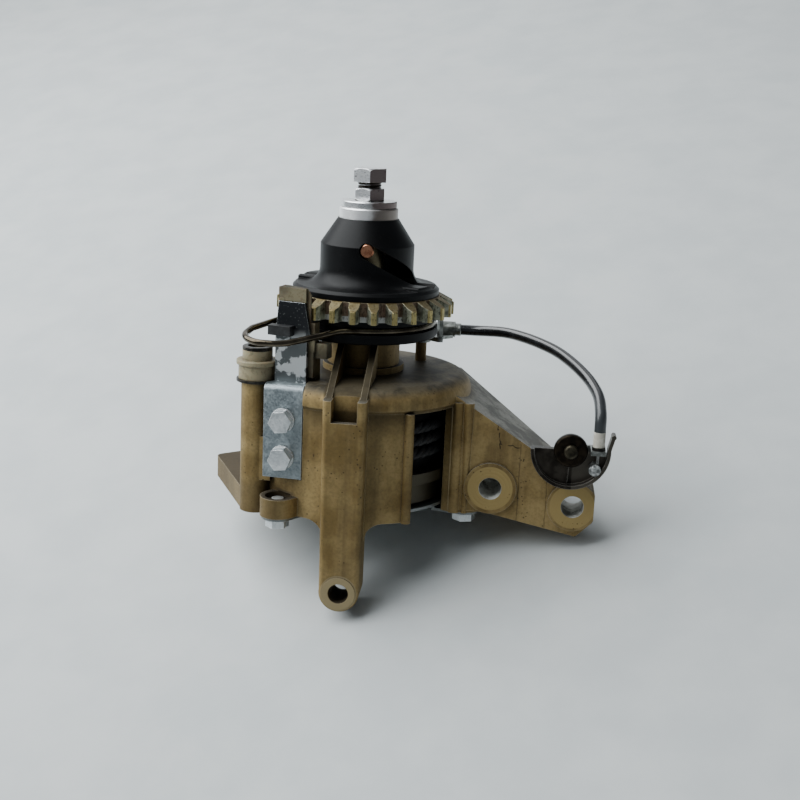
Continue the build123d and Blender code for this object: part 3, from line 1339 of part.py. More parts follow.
PARTS = {
    "housing": make_housing,
    "bottom_cover": make_bottom_cover,
    "cover_screws": make_cover_screws,
    "recoil_spring": make_recoil_spring,
    "spool": make_spool,
    "rope_winding": make_rope,
    "drive_pin": make_drive_pin,
    "center_bolt": make_center_bolt,
    "lock_nut": make_lock_nut,
    "top_washer": make_top_washer,
    "hub_bush": make_hub_bush,
    "pinion_hub": make_pinion_hub,
    "pinion_gear": make_pinion_gear,
    "brake_spring": make_brake_spring,
    "anchor_bracket": make_anchor_bracket,
    "bracket_screws": make_bracket_screws,
    "guide_plate": make_guide_plate,
    "guide_block": make_guide_block,
    "guide_stop": make_guide_stop,
    "shaft_bushing": make_shaft_bushing,
    "bushing_clip": make_bushing_clip,
    "bushing_ring": make_bushing_ring,
    "lockout_pawl": make_lockout_pawl,
    "pawl_screw": make_pawl_screw,
    "cable_clamp": make_cable_clamp,
    "upper_wire": make_upper_wire,
    "upper_ferrule": make_upper_ferrule,
    "cable_sheath": make_cable_sheath,
    "lower_ferrule": make_lower_ferrule,
    "ferrule_ring": make_ferrule_ring,
    "lower_wire": make_lower_wire,
    "cable_nipple": make_cable_nipple,
    "lockout_lever": make_lockout_lever,
    "lever_bush": make_lever_bush,
    "lever_screw": make_lever_screw,
    "cable_stop": make_cable_stop,
}

os.makedirs("parts", exist_ok=True)
for name, make in PARTS.items():
    export_step(HOME * make(), f"parts/{name}.step")
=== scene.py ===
# %% [markdown]
# # Outboard recoil starter
# The real object is the manual starter of a small outboard engine: a sand-coloured casting
# that holds a rope spool, a black pinion hub on top, a zinc bracket at the left, and a short
# cable to a lever at the right. The shapes come ready made from CAD. This lesson gives every
# surface its finish, adds the rope's strands and the bolt's thread, and sets light and camera.

# %% Load the frame
import math

import bmesh
import bpy
from mathutils import Matrix, Vector


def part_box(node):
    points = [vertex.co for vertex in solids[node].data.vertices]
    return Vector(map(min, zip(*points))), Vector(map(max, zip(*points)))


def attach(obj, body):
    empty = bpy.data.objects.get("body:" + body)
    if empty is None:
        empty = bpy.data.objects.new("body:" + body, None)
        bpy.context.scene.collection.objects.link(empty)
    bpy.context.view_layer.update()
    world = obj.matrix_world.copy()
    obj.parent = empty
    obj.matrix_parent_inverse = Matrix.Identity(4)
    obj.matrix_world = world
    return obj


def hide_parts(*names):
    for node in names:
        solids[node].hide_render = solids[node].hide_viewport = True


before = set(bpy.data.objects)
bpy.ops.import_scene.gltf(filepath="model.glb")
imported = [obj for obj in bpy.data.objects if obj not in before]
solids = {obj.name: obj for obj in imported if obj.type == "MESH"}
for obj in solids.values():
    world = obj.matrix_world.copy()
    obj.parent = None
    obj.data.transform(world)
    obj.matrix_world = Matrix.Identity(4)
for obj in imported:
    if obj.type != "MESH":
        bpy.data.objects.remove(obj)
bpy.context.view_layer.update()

# %% [markdown]
# The casting was drawn about the spindle, in millimetres, with zero at the drum's lower rim,
# but the frame stands at the arm's bolt hole and counts in metres. One small function turns a
# place on the drawing into a place in the frame, so every size below is a real one.

# %% Places on the drawing
SPINDLE = (0.7, 37.0, 26.9)


def at(x, y, z):
    """A place given in mm about the spindle, as a vector in the frame."""
    return Vector([(value + start) / 1000 for value, start in zip((x, y, z), SPINDLE)])


def mm(value):
    """Millimetres as metres."""
    return value / 1000


AXIS = at(0, 0, 0)
print("the spindle's axis stands at", [round(value, 4) for value in AXIS])

# %% [markdown]
# Paint and metal colours are easiest to name as a designer does, by their screen value, but
# Blender mixes light, so each one is turned into linear light first.

# %% Colours
def colour(code):
    """A screen colour such as 7a6848 as linear red, green, blue and alpha."""
    parts = [int(code[i:i + 2], 16) / 255 for i in (0, 2, 4)]
    linear = [c / 12.92 if c < 0.04045 else ((c + 0.055) / 1.055) ** 2.4 for c in parts]
    return (*linear, 1.0)


# %% [markdown]
# A finish such as old cast metal is a sum of many small maps: patches, streaks, pits and dirt.
# Written as nodes that is a long list of links. Written as sums and products it can be read.
# So one small class holds a socket and knows what plus, minus and times mean, and each of them
# adds a Math node.

# %% Arithmetic on sockets
class Map:
    """The output of a node, as a value that can be added, multiplied and faded."""

    def __init__(self, finish, socket):
        self.finish = finish
        self.socket = socket

    def math(self, operation, first, second):
        settings = {"operation": operation}
        return self.finish.node("Math", settings, {0: first, 1: second})

    def __add__(self, other):
        return self.math("ADD", self, other)

    def __sub__(self, other):
        return self.math("SUBTRACT", self, other)

    def __rsub__(self, other):
        return self.math("SUBTRACT", other, self)

    def __mul__(self, other):
        return self.math("MULTIPLY", self, other)

    __radd__ = __add__
    __rmul__ = __mul__

    def larger(self, other):
        return self.math("MAXIMUM", self, other)

    def sine(self):
        return self.math("SINE", self, 0.0)

    def fade(self, low, high):
        """0 below low, 1 above high and a soft step between them, or the other way round."""
        settings = {"interpolation_type": "SMOOTHSTEP"}
        if low < high:
            return self.finish.node("MapRange", settings, {0: self, 1: low, 2: high})
        return 1 - self.finish.node("MapRange", settings, {0: self, 1: high, 2: low})


# %% [markdown]
# The second class is one material in the making. Every node of it comes from a single method
# that takes the type, the settings and what goes into its sockets. Noise, cells, blends and the
# rest are only short names for such a call. Places are measured on the piece itself, so that
# the dirt stays where it is when the piece moves. Three names say which axes count in a
# distance: those across the spindle, those seen from the front, or only left and right.
# Corners and edges are felt with a few rays from each point, as more would mostly cost time.

# %% A material in the making
ACROSS_SPINDLE = (1, 1, 0)
FROM_THE_FRONT = (1, 0, 1)
LEFT_AND_RIGHT = (1, 0, 0)
SHELTER_RAYS = 6
EDGE_RAYS = 4
WANDER_SCALE = 260


class Finish:
    """A material whose node tree ends in one Principled shader."""

    def __init__(self, name, **constants):
        self.material = bpy.data.materials.new(name)
        self.material.use_nodes = True
        self.tree = self.material.node_tree
        self.shader = self.tree.nodes["Principled BSDF"]
        for socket, value in constants.items():
            self.shader.inputs[socket.replace("_", " ")].default_value = value

    def node(self, kind, settings=None, inputs=None, output=0):
        made = self.tree.nodes.new("ShaderNode" + kind)
        for name, value in (settings or {}).items():
            setattr(made, name, value)
        for key, value in (inputs or {}).items():
            self.feed(made.inputs[key], value)
        return Map(self, made.outputs[output])

    def feed(self, socket, value):
        if isinstance(value, Map):
            self.tree.links.new(value.socket, socket)
        else:
            socket.default_value = value

    def shade(self, **maps):
        """Give the shader the maps of what changes over the surface."""
        for socket, value in maps.items():
            self.feed(self.shader.inputs[socket.replace("_", " ")], value)

    def place(self, stretch=(1, 1, 1)):
        """The point on the piece, in metres, scaled along each axis."""
        point = self.node("TexCoord", output="Object")
        return self.vector("MULTIPLY", point, stretch)

    def vector(self, operation, first, second=(0, 0, 0), output=0):
        return self.node("VectorMath", {"operation": operation}, {0: first, 1: second}, output)

    def part_of(self, vector, axis):
        return self.node("SeparateXYZ", None, {0: vector}, axis)

    def along(self, axis):
        return self.part_of(self.place(), axis)

    def by_height(self, bare, full):
        """0 up to one height in mm on the drawing and 1 past the other, which may be lower."""
        return self.along("Z").fade(at(0, 0, bare).z, at(0, 0, full).z)

    def facing(self, axis):
        """How far the surface looks along an axis of the piece, from -1 to 1."""
        return self.part_of(self.node("TexCoord", output="Normal"), axis)

    def noise(self, scale, detail=4.0, stretch=(1, 1, 1), rough=0.55):
        values = {"Vector": self.place(stretch), "Scale": scale, "Detail": detail}
        values["Roughness"] = rough
        return self.node("TexNoise", None, values, "Fac")

    def cells(self, scale, output="Distance"):
        values = {"Vector": self.place(), "Scale": scale}
        return self.node("TexVoronoi", None, values, output)

    def distance(self, centre, across):
        """Metres from a point, counted only along the axes that are 1."""
        gap = self.vector("SUBTRACT", self.place(), centre)
        return self.vector("LENGTH", self.vector("MULTIPLY", gap, across), output="Value")

    def from_spindle(self):
        """Metres from the spindle's axis."""
        return self.distance(AXIS, ACROSS_SPINDLE)

    def line(self, start, end, width, wave):
        """1 on a thin line between two points, which wanders in a band as wide as wave."""
        run = end - start
        settings = {"Vector": self.place(), "Scale": WANDER_SCALE}
        chance = self.node("TexNoise", None, settings, "Color")
        both_ways = self.vector("SUBTRACT", chance, (0.5, 0.5, 0.5))
        shift = self.vector("MULTIPLY", both_ways, (wave, wave, wave))
        gap = self.vector("SUBTRACT", self.vector("ADD", self.place(), shift), start)
        share = self.vector("DOT_PRODUCT", gap, run / run.length_squared, "Value")
        share = self.node("Clamp", None, {0: share})
        foot = self.node("VectorMath", {"operation": "SCALE"}, {0: run, "Scale": share})
        return self.vector("DISTANCE", gap, foot, "Value").fade(width, width * 0.4)

    def blend(self, mask, under, over):
        """One colour over another where the mask is 1."""
        # A Mix node of colours takes them at its sockets 6 and 7 and gives the result at 2.
        settings = {"data_type": "RGBA"}
        return self.node("Mix", settings, {0: mask, 6: under, 7: over}, 2)

    def shelter(self, reach):
        """1 in corners and gaps that open less than reach, 0 on open faces."""
        settings = {"samples": SHELTER_RAYS, "only_local": False}
        inputs = {"Distance": reach}
        return 1 - self.node("AmbientOcclusion", settings, inputs, "AO")

    def soft_edges(self, radius):
        """The surface's direction as if its edges were rounded."""
        return self.node("Bevel", {"samples": EDGE_RAYS}, {"Radius": radius})

    def worn_edges(self, radius):
        """1 on outer and inner edges, 0 on plain faces."""
        plain = self.node("NewGeometry", output="Normal")
        return 1 - self.vector("DOT_PRODUCT", self.soft_edges(radius), plain, "Value")

    def bump(self, height, depth, edges):
        """A surface direction from a height map, depth metres from low to high."""
        inputs = {"Height": height, "Distance": depth, "Normal": self.soft_edges(edges)}
        return self.node("Bump", None, inputs)


def dress(finish, *names):
    """Give a finish to CAD nodes."""
    for name in names:
        for slot in solids[name].material_slots:
            slot.material = finish.material
    print(finish.material.name, "on", ", ".join(names))


# %% [markdown]
# ## The casting
# The housing is a die casting of aluminium, once painted or dipped, now an olive to sand
# coloured skin with small dark pits, streaks down the drum, greasy dirt and painted shade in the
# corners, and a paler worn skin on the edges. Only what a tool has cut is bare: golden rings
# round the bolt holes, and silver walls inside them.
# Chance alone would spread this evenly, so each map is tied to what makes it: dirt and painted
# shade to shelter, wear to edges, a painted grey sheen to faces that look up, and the turned
# rings to the bolt holes.
# The rings and bores come first, as masks by distance, which stay sharp at any size.

# %% Turned and drilled faces
BOX_FRONT = -21.0
BOSSES = (at(56.7, BOX_FRONT, 11.7), at(90.6, BOX_FRONT, 6.3))
RING_R = mm(9.4)
BORE_R = mm(4.75)
ARM_HOLE = Vector((0, 0, 0))
ARM_RING_R = mm(7.6)


def turned_ring(finish, centre, outer):
    """A mask for the face that was cut flat round a bolt hole."""
    inside = finish.distance(centre, FROM_THE_FRONT).fade(outer, outer - mm(0.3))
    return inside * finish.facing("Y").fade(-0.7, -0.95)


def bore_walls(finish):
    """A mask for the drilled walls of the two bolt holes."""
    first, second = [finish.distance(boss, FROM_THE_FRONT) for boss in BOSSES]
    inner = BORE_R - mm(0.1)
    return first.fade(BORE_R, inner).larger(second.fade(BORE_R, inner))


# %% [markdown]
# The casting has flaws of its own. Dark hairlines meet over the first bolt hole, and two faint
# seams run down the bracket's front. Chance wouldn't put them there, so each is a line between
# two places read from the object, and noise only makes it wander.

# %% Hairlines and seams
HAIR_JOINT = (59.6, 30.6)
HAIR_ENDS = ((58.4, 38.6), (67.8, 29.6), (60.2, 25.4))
SEAMS = ((68.2, 31.0, -2.0), (79.7, 23.0, -4.0))


def on_the_front(x, z):
    """A place on the bracket's front."""
    return at(x, BOX_FRONT, z)


def casting_flaws(finish):
    """The dark hairlines over the first boss and the two faint seams down the bracket's front."""
    joint = on_the_front(*HAIR_JOINT)
    flaws = 0.0
    for x, z in HAIR_ENDS:
        hair = finish.line(joint, on_the_front(x, z), mm(0.32), mm(3.0))
        flaws = hair.larger(flaws)
    for x, top, low in SEAMS:
        seam = finish.line(on_the_front(x, top), on_the_front(x, low), mm(0.3), mm(1.0))
        flaws = flaws.larger(seam * 0.55)
    return flaws * finish.facing("Y").fade(-0.5, -0.9)


# %% [markdown]
# Old grease has its places too: the top of the arm's two prongs, the foot at the left and the
# cup round the screw in the left ear. The band under the drum's shoulder gets painted shade.
# Each gets a mask made of heights, distances and the way the face looks.

# %% Greasy places and shade under the shoulder
ARM = at(-0.7, 0, 0)
ARM_HALF = mm(8.6)
EAR = at(-28.2, -38.8, 8.0)
SHOULDER_R = mm(46)


def painted_shoulder_shade(finish):
    """A mask for painted shade on the drum's wall under its shoulder."""
    band = finish.by_height(34, 45) * finish.by_height(47, 45.5)
    return band * finish.from_spindle().fade(mm(47), SHOULDER_R)


def greasy_prongs(finish):
    """A mask for the top of the arm's two prongs, in front of the drum."""
    near_arm = finish.distance(ARM, LEFT_AND_RIGHT).fade(mm(10), ARM_HALF)
    in_front = finish.along("Y").fade(at(0, -18, 0).y, at(0, -24, 0).y)
    return near_arm * finish.facing("Z").fade(0.3, 0.6) * in_front


def greasy_foot(finish):
    """A mask for the foot at the left."""
    leftward = finish.along("X").fade(at(-22, 0, 0).x, at(-28, 0, 0).x)
    return finish.by_height(14, 8) * leftward


def ear_cup(finish):
    """A mask for the cup round the screw in the left ear."""
    inside = finish.distance(EAR, ACROSS_SPINDLE).fade(mm(7.6), mm(5.0))
    return inside * finish.by_height(10, 9) * finish.facing("Z").fade(-0.3, 0.2)


# %% [markdown]
# Now the skin is laid on like coats of paint, each over the ones before: patches, stains and
# streaks first, then a painted grey sheen on faces that look up, then grease, painted shade and
# bare metal, and near the end the pits and hairlines. The greasiest places are rough and hardly
# shine like metal.
# The cutter's grooves in the rings are a sine of the distance from the hole. TOOL_MARKS counts
# in radians a metre, and makes a groove every 1.5 mm.

# %% Cast alloy
TOOL_MARKS = 4200.0


def cast_alloy():
    skin = Finish("cast_alloy", Specular_IOR_Level=0.35)
    patches = skin.noise(45, 3).fade(0.38, 0.64)
    streaks = skin.noise(210, 4, (1, 1, 0.1)).fade(0.42, 0.72)
    runs = skin.noise(120, 3, (1, 1, 0.05)).fade(0.5, 0.72)
    fine = skin.noise(900, 5)
    mottle = skin.noise(75, 6, rough=0.72).fade(0.44, 0.6)
    stains = skin.noise(30, 4, (1, 1, 0.4), 0.65).fade(0.5, 0.66)
    upward = skin.facing("Z").fade(0.45, 0.95)
    corners = skin.shelter(mm(9)).fade(0.35, 0.8)
    edges = skin.worn_edges(mm(0.6)).fade(0.02, 0.22)
    specks = skin.cells(560).fade(0.23, 0.12) * skin.noise(120, 2).fade(0.5, 0.62)
    rings = turned_ring(skin, BOSSES[0], RING_R).larger(turned_ring(skin, BOSSES[1], RING_R))
    arm_ring = turned_ring(skin, ARM_HOLE, ARM_RING_R)
    bores = bore_walls(skin)
    flaws = casting_flaws(skin)
    shade_under_shoulder = painted_shoulder_shade(skin)
    prongs = greasy_prongs(skin)
    left_foot = greasy_foot(skin)
    cup = ear_cup(skin)
    from_spindle = skin.from_spindle()
    grey_slope_sheen = upward * from_spindle.fade(mm(45), mm(50)) * skin.by_height(12, 20)
    neck_grease_and_shade = from_spindle.fade(mm(36), mm(17)) * upward
    low_ledge = upward * skin.by_height(30, 15)

    tone = skin.blend(patches, colour("78633a"), colour("a08a5c"))
    tone = skin.blend(stains * 0.45, tone, colour("4c3d25"))
    tone = skin.blend(streaks * 0.45, tone, colour("a58e60"))
    tone = skin.blend(runs * (1 - upward) * 0.45, tone, colour("463a22"))
    # Painted sheen: faces that look up turn grey, as if lit from above.
    tone = skin.blend(upward * 0.85, tone, colour("5c584c"))
    # Painted sheen: a lighter grey on the slope past the drum's rim.
    tone = skin.blend(grey_slope_sheen * 0.85, tone, colour("8c8c87"))
    tone = skin.blend(upward * mottle * 0.8, tone, colour("2f2d28"))
    # Grease and a painted shadow of the hub's disc darken the top near the neck.
    tone = skin.blend(neck_grease_and_shade * 0.75, tone, colour("2b251c"))
    tone = skin.blend(prongs * 0.75, tone, colour("3a321f"))
    tone = skin.blend(left_foot * 0.5, tone, colour("4a3d26"))
    tone = skin.blend(low_ledge * 0.85, tone, colour("3b3325"))
    tone = skin.blend(fine.fade(0.35, 0.75) * 0.3, tone, colour("4a3f2b"))
    # Painted shade: darkens the drum's wall under its shoulder.
    tone = skin.blend(shade_under_shoulder * 0.6, tone, colour("2f2615"))
    tone = skin.blend(edges * 0.5 * (1 - corners), tone, colour("b9ad93"))
    tone = skin.blend(rings, tone, colour("a28c5a"))
    tone = skin.blend(arm_ring, tone, colour("9a8b69"))
    # Dirt and painted shade darken corners and gaps.
    tone = skin.blend(corners * 0.85, tone, colour("2a2114"))
    tone = skin.blend(bores, tone, skin.blend(mottle, colour("c9c9c3"), colour("77756c")))
    tone = skin.blend(specks * 0.8, tone, colour("1d160f"))
    tone = skin.blend(flaws * 0.85, tone, colour("1a130c"))
    tone = skin.blend(cup * 0.85, tone, colour("1f1810"))

    from_hole = skin.distance(BOSSES[0], FROM_THE_FRONT)
    steps = (from_hole * TOOL_MARKS).sine().fade(-0.2, 0.9) * rings
    height = fine * 0.5 + skin.noise(260, 3) * 0.6 - specks * 0.5 - flaws * 0.6 + steps * 0.25
    rough = 0.5 + fine * 0.15 - rings * 0.18 + corners * 0.2 - cup * 0.2
    dull = low_ledge.larger(prongs).larger(cup)
    skin.shade(Base_Color=tone, Roughness=rough + dull * 0.3, Metallic=0.45 - dull * 0.4)
    skin.shade(Normal=skin.bump(height, mm(0.12), mm(0.3)))
    return skin


dress(cast_alloy(), "housing")

# %% [markdown]
# ## Bright steel
# The spindle's bolt, nut and washer are turned steel with a thin brown stain on the side that
# the grease ran down, which also looks away from the light and gets painted shade. Steel this
# bright takes its look from what it reflects, so it needs few maps: brushed lines, the stain
# with its painted shade, some spots, and dirt and painted shade in its corners.

# %% Bright steel
def bright_steel():
    steel = Finish("bright_steel", Metallic=1.0)
    brushed = steel.noise(700, 4, (1, 1, 8))
    side = (steel.facing("X") + steel.noise(300, 3) * 0.5).fade(0.25, 0.6)
    spots = steel.cells(520).fade(0.2, 0.1) * steel.noise(170, 2).fade(0.5, 0.6)
    corners = steel.shelter(mm(2.5)).fade(0.3, 0.8)
    tone = steel.blend(brushed.fade(0.3, 0.7), colour("e6e9eb"), colour("ffffff"))
    # Brown stain and painted shade on the side that looks away from the light.
    tone = steel.blend(side * 0.85, tone, colour("4c2c24"))
    # Dark spots, and dirt and painted shade in the corners.
    tone = steel.blend((spots * 0.8).larger(corners * 0.9), tone, colour("24190f"))
    rough = 0.22 + brushed * 0.14 + side * 0.15 + corners * 0.2
    steel.shade(Base_Color=tone, Roughness=rough)
    steel.shade(Normal=steel.bump(brushed, mm(0.02), mm(0.25)))
    return steel


dress(bright_steel(), "center_bolt", "lock_nut", "top_washer")

# %% [markdown]
# ## Zinc plate
# The bracket and its screws are zinc plated, which shows as a bluish, mottled grey. The
# plating's crystals each reflect a little differently, so every cell of a cell pattern gets a
# roughness of its own as well as a colour. The steel bottom cover is the same in darker grey.

# %% Zinc plate
def zinc_plate(name, dark, light, worn):
    zinc = Finish(name, Metallic=0.85)
    grains = zinc.cells(1500, output="Color")
    shine = zinc.part_of(grains, "X")
    stains = zinc.noise(160, 4).fade(0.45, 0.68)
    corners = zinc.shelter(mm(4)).fade(0.3, 0.8)
    edges = zinc.worn_edges(mm(0.4)).fade(0.02, 0.2)
    tone = zinc.blend(shine * 0.5 + stains * 0.4, colour(dark), colour(light))
    tone = zinc.blend(edges * 0.7, tone, colour(worn))
    # Dirt and painted shade darken the corners.
    tone = zinc.blend(corners * 0.75, tone, colour("2b2721"))
    height = shine * 0.4 + zinc.noise(600, 3)
    zinc.shade(Base_Color=tone, Roughness=0.34 + shine * 0.16 + stains * 0.1)
    zinc.shade(Normal=zinc.bump(height, mm(0.03), mm(0.35)))
    return zinc


dress(zinc_plate("zinc", "869094", "bac4c8", "e6eaeb"), "anchor_bracket")
dress(zinc_plate("screw_zinc", "ced4d6", "f0f3f4", "ffffff"), "bracket_screws", "cover_screws")
dress(zinc_plate("cover_steel", "6e7271", "9a9e9d", "c9d0d3"), "bottom_cover")

# %% [markdown]
# The strip that guides the spring wears its plating in two ways: its upper end is dark and
# speckled with grease, and its lower end is grey, with patches rubbed almost to white. One map
# of height on the piece tells them apart.

# %% Guide strip
def guide_strip():
    strip = Finish("guide_strip", Metallic=0.9)
    upper = strip.by_height(70, 76)
    rubbed = strip.noise(190, 5).fade(0.5, 0.56)
    specks = strip.cells(900).fade(0.3, 0.15)
    edges = strip.worn_edges(mm(0.4)).fade(0.02, 0.2)
    tone = strip.blend(rubbed, colour("74797a"), colour("eef2f2"))
    tone = strip.blend(upper, tone, colour("2b2d30"))
    tone = strip.blend(upper * specks * 0.6, tone, colour("6a6e6c"))
    tone = strip.blend(edges * 0.8, tone, colour("c8cccc"))
    height = strip.noise(700, 4)
    strip.shade(Base_Color=tone, Roughness=0.3 + height * 0.15 + upper * 0.1)
    strip.shade(Normal=strip.bump(height, mm(0.03), mm(0.3)))
    return strip


dress(guide_strip(), "guide_plate")

# %% [markdown]
# ## Black hub
# The pinion's hub is smooth and black with a soft gloss, like oiled anodised metal. Real gloss
# is never even: a film of grease makes some places duller, and fine dust greys the ledges.

# %% Black hub
def black_hub():
    hub = Finish("black_hub", Specular_IOR_Level=0.16)
    film = hub.noise(90, 4)
    dust = hub.cells(1400).fade(0.22, 0.1) * hub.noise(200, 3).fade(0.5, 0.7)
    edges = hub.worn_edges(mm(0.5)).fade(0.02, 0.25)
    ledge = hub.facing("Z").fade(0.6, 0.95) * film.fade(0.35, 0.7)
    tone = hub.blend(film.fade(0.3, 0.7), colour("030304"), colour("07080a"))
    tone = hub.blend(ledge * 0.08, tone, colour("343534"))
    tone = hub.blend((dust * 0.22).larger(edges * 0.14), tone, colour("6c6c66"))
    hub.shade(Base_Color=tone, Roughness=0.34 + film * 0.16 + dust * 0.2)
    hub.shade(Normal=hub.bump(hub.noise(500, 3), mm(0.012), mm(0.4)))
    return hub


dress(black_hub(), "pinion_hub")

# %% [markdown]
# ## Gear
# Each tooth's outer face rubs against the engine's ring gear and shines like old brass. Between
# the teeth the steel is brown with grease, but for a painted highlight at each gap's lower end,
# a silver bar where light falls on the root, and the bevels on top hold an olive film. So three
# things pick the colour: the distance from the spindle, the height, and whether the face looks
# up.

# %% Gear steel
TIP_R = mm(36.4)
ROOT_R = mm(31.1)
ROOT_HIGHLIGHT_END = 81.6
ROOT_HIGHLIGHT_FULL = 81.2


def gear_steel():
    steel = Finish("gear_steel", Metallic=0.85)
    radius = steel.from_spindle()
    tips = radius.fade(TIP_R - mm(0.5), TIP_R - mm(0.1))
    roots = radius.fade(ROOT_R + mm(0.5), ROOT_R + mm(0.2))
    level = steel.facing("Z").fade(0.3, 0.6)
    root_highlight = roots * steel.by_height(ROOT_HIGHLIGHT_END, ROOT_HIGHLIGHT_FULL)
    blotches = steel.noise(380, 4)
    scratches = steel.noise(1300, 4, (1, 1, 0.5)).fade(0.53, 0.62)
    corners = steel.shelter(mm(3.0)).fade(0.35, 0.85)
    edges = steel.worn_edges(mm(0.3)).fade(0.02, 0.2)
    tone = steel.blend(blotches.fade(0.35, 0.65), colour("77786a"), colour("b3b5a2"))
    tone = steel.blend(tips * 0.85, tone, colour("b3a368"))
    tone = steel.blend(roots * 0.8, tone, colour("6b4f3c"))
    tone = steel.blend(level * 0.85, tone, colour("64552f"))
    # Painted highlight: a silver bar at the lower end of each gap between the teeth.
    tone = steel.blend(root_highlight * 0.8, tone, colour("c9cbc6"))
    tone = steel.blend(scratches * 0.6, tone, colour("241d12"))
    tone = steel.blend(edges * 0.5, tone, colour("c9c3a4"))
    # Dirt and painted shade darken the corners.
    tone = steel.blend(corners * 0.8, tone, colour("191309"))
    rough = 0.28 + blotches * 0.2 + corners * 0.2 + level * 0.15
    steel.shade(Base_Color=tone, Roughness=rough)
    steel.shade(Normal=steel.bump(blotches, mm(0.05), mm(0.2)))
    return steel


dress(gear_steel(), "pinion_gear")

# %% [markdown]
# ## Spindle and spool
# One piece of light alloy runs from the spool to the bright journal under the washer. The
# journal is polished by the hub that slides on it, with a brown stain and painted shade round
# its right side, which looks away from the light.
# Lower down the same metal is tan, and the flange in the window is a dark olive grey. Fine
# rings from the lathe run round all of it, so its noise is squeezed along the height.

# %% Spool alloy
def spool_alloy():
    alloy = Finish("spool_alloy", Metallic=0.8)
    turned = alloy.noise(500, 3, (1, 1, 14))
    top = alloy.by_height(112, 117)
    stain = (alloy.facing("X") + alloy.noise(140, 3) * 0.6).fade(0.3, 0.7)
    tone = alloy.blend(turned.fade(0.3, 0.7), colour("6f6650"), colour("8f8468"))
    tone = alloy.blend(top, tone, colour("ffffff"))
    low = alloy.by_height(60, 50)
    # Brown stain and painted shade on the journal's side that looks away from the light.
    tone = alloy.blend(top * stain * 0.85, tone, colour("54402e"))
    tone = alloy.blend(low, tone, colour("403c31"))
    # Dirt and painted shade darken the corners.
    tone = alloy.blend(alloy.shelter(mm(5)).fade(0.4, 0.9) * 0.7, tone, colour("1d1812"))
    alloy.shade(Base_Color=tone, Roughness=0.26 + turned * 0.16)
    alloy.shade(Normal=alloy.bump(turned, mm(0.03), mm(0.2)))
    return alloy


dress(spool_alloy(), "spool")

# %% [markdown]
# ## Small hardware
# Pin, bushes, springs, clips, screws and wires are too small to need a story each. One metal
# with a fine grain, and dirt and painted shade in its corners, does for all, from two colours and
# a roughness. The cable's inner wire and its nipple get a deeper bump, for the wire's strands and
# rough metal.

# %% Plain metals
def plain_metal(name, dark, light, roughness, grain=400, depth=0.03):
    """Metal with a fine grain, and dirt and painted shade in its corners, for the small hardware.
    """
    metal = Finish(name, Metallic=0.95)
    blotches = metal.noise(grain, 4)
    tone = metal.blend(blotches.fade(0.32, 0.68), colour(dark), colour(light))
    # Dirt and painted shade darken the corners.
    tone = metal.blend(metal.shelter(mm(2)).fade(0.35, 0.9) * 0.7, tone, colour("15110c"))
    metal.shade(Base_Color=tone, Roughness=roughness + blotches * 0.15)
    metal.shade(Normal=metal.bump(blotches, mm(depth), mm(0.2)))
    return metal


dress(plain_metal("pin_copper", "b5785a", "d79a78", 0.2), "drive_pin")
dress(plain_metal("bronze", "6b5532", "8d7346", 0.35), "hub_bush")
dress(plain_metal("brake_wire", "3b352c", "5f574a", 0.1, 160, 0.01), "brake_spring")
dress(plain_metal("coil_steel", "3a3f45", "5c636b", 0.3), "recoil_spring")
dress(plain_metal("dark_steel", "262523", "4a4743", 0.32),
      "bushing_clip", "bushing_ring", "pawl_screw", "ferrule_ring")
dress(plain_metal("ferrule_steel", "6d6f6b", "a5a8a4", 0.3),
      "upper_ferrule", "cable_stop", "cable_clamp", "lockout_pawl")
dress(plain_metal("inner_wire", "6a6a68", "a9a9a6", 0.25, 2600, 0.12), "upper_wire", "lower_wire")
dress(plain_metal("nipple", "6f7170", "c2c4c2", 0.25, 700, 0.9), "cable_nipple")
dress(plain_metal("dark_screw", "25221c", "4b4639", 0.35), "lever_screw")
dress(plain_metal("bush_black", "17130f", "2b241c", 0.35), "lever_bush")

# %% [markdown]
# ## Lever
# The half-round lever is pressed steel. Its left part is nearly black with old grease, its
# right quarter has been handled down to a warm grey, and its rim is rubbed bright. The border
# between the two is sharp, so a step at one place from left to right makes it.

# %% Worn steel of the lever
LEVER_STEP = at(89.1, 0, 0).x


def worn_steel():
    steel = Finish("worn_steel", Metallic=0.85)
    clean = steel.along("X").fade(LEVER_STEP - mm(0.3), LEVER_STEP + mm(0.3))
    rim = steel.worn_edges(mm(0.5)).fade(0.02, 0.2)
    smears = steel.noise(240, 4)
    tone = steel.blend(smears.fade(0.35, 0.7), colour("221e19"), colour("3d3832"))
    tone = steel.blend(clean * 0.8, tone, colour("59544c"))
    tone = steel.blend(rim * 0.55, tone, colour("b3aea6"))
    steel.shade(Base_Color=tone, Roughness=0.28 + smears * 0.2)
    steel.shade(Normal=steel.bump(smears, mm(0.04), mm(0.3)))
    return steel


dress(worn_steel(), "lockout_lever")

# %% [markdown]
# ## Nylon
# The bushing is ivory nylon, which lets a little light in and takes brown grime and painted
# shade in its corners.
# The guide bar is the same nylon, but darker with grease, above all on top and at its foot, and
# it has a round moulding mark. Two colours and one number, dirt, make the difference.

# %% Nylon
MARK = at(-29.6, -29, 86.6)


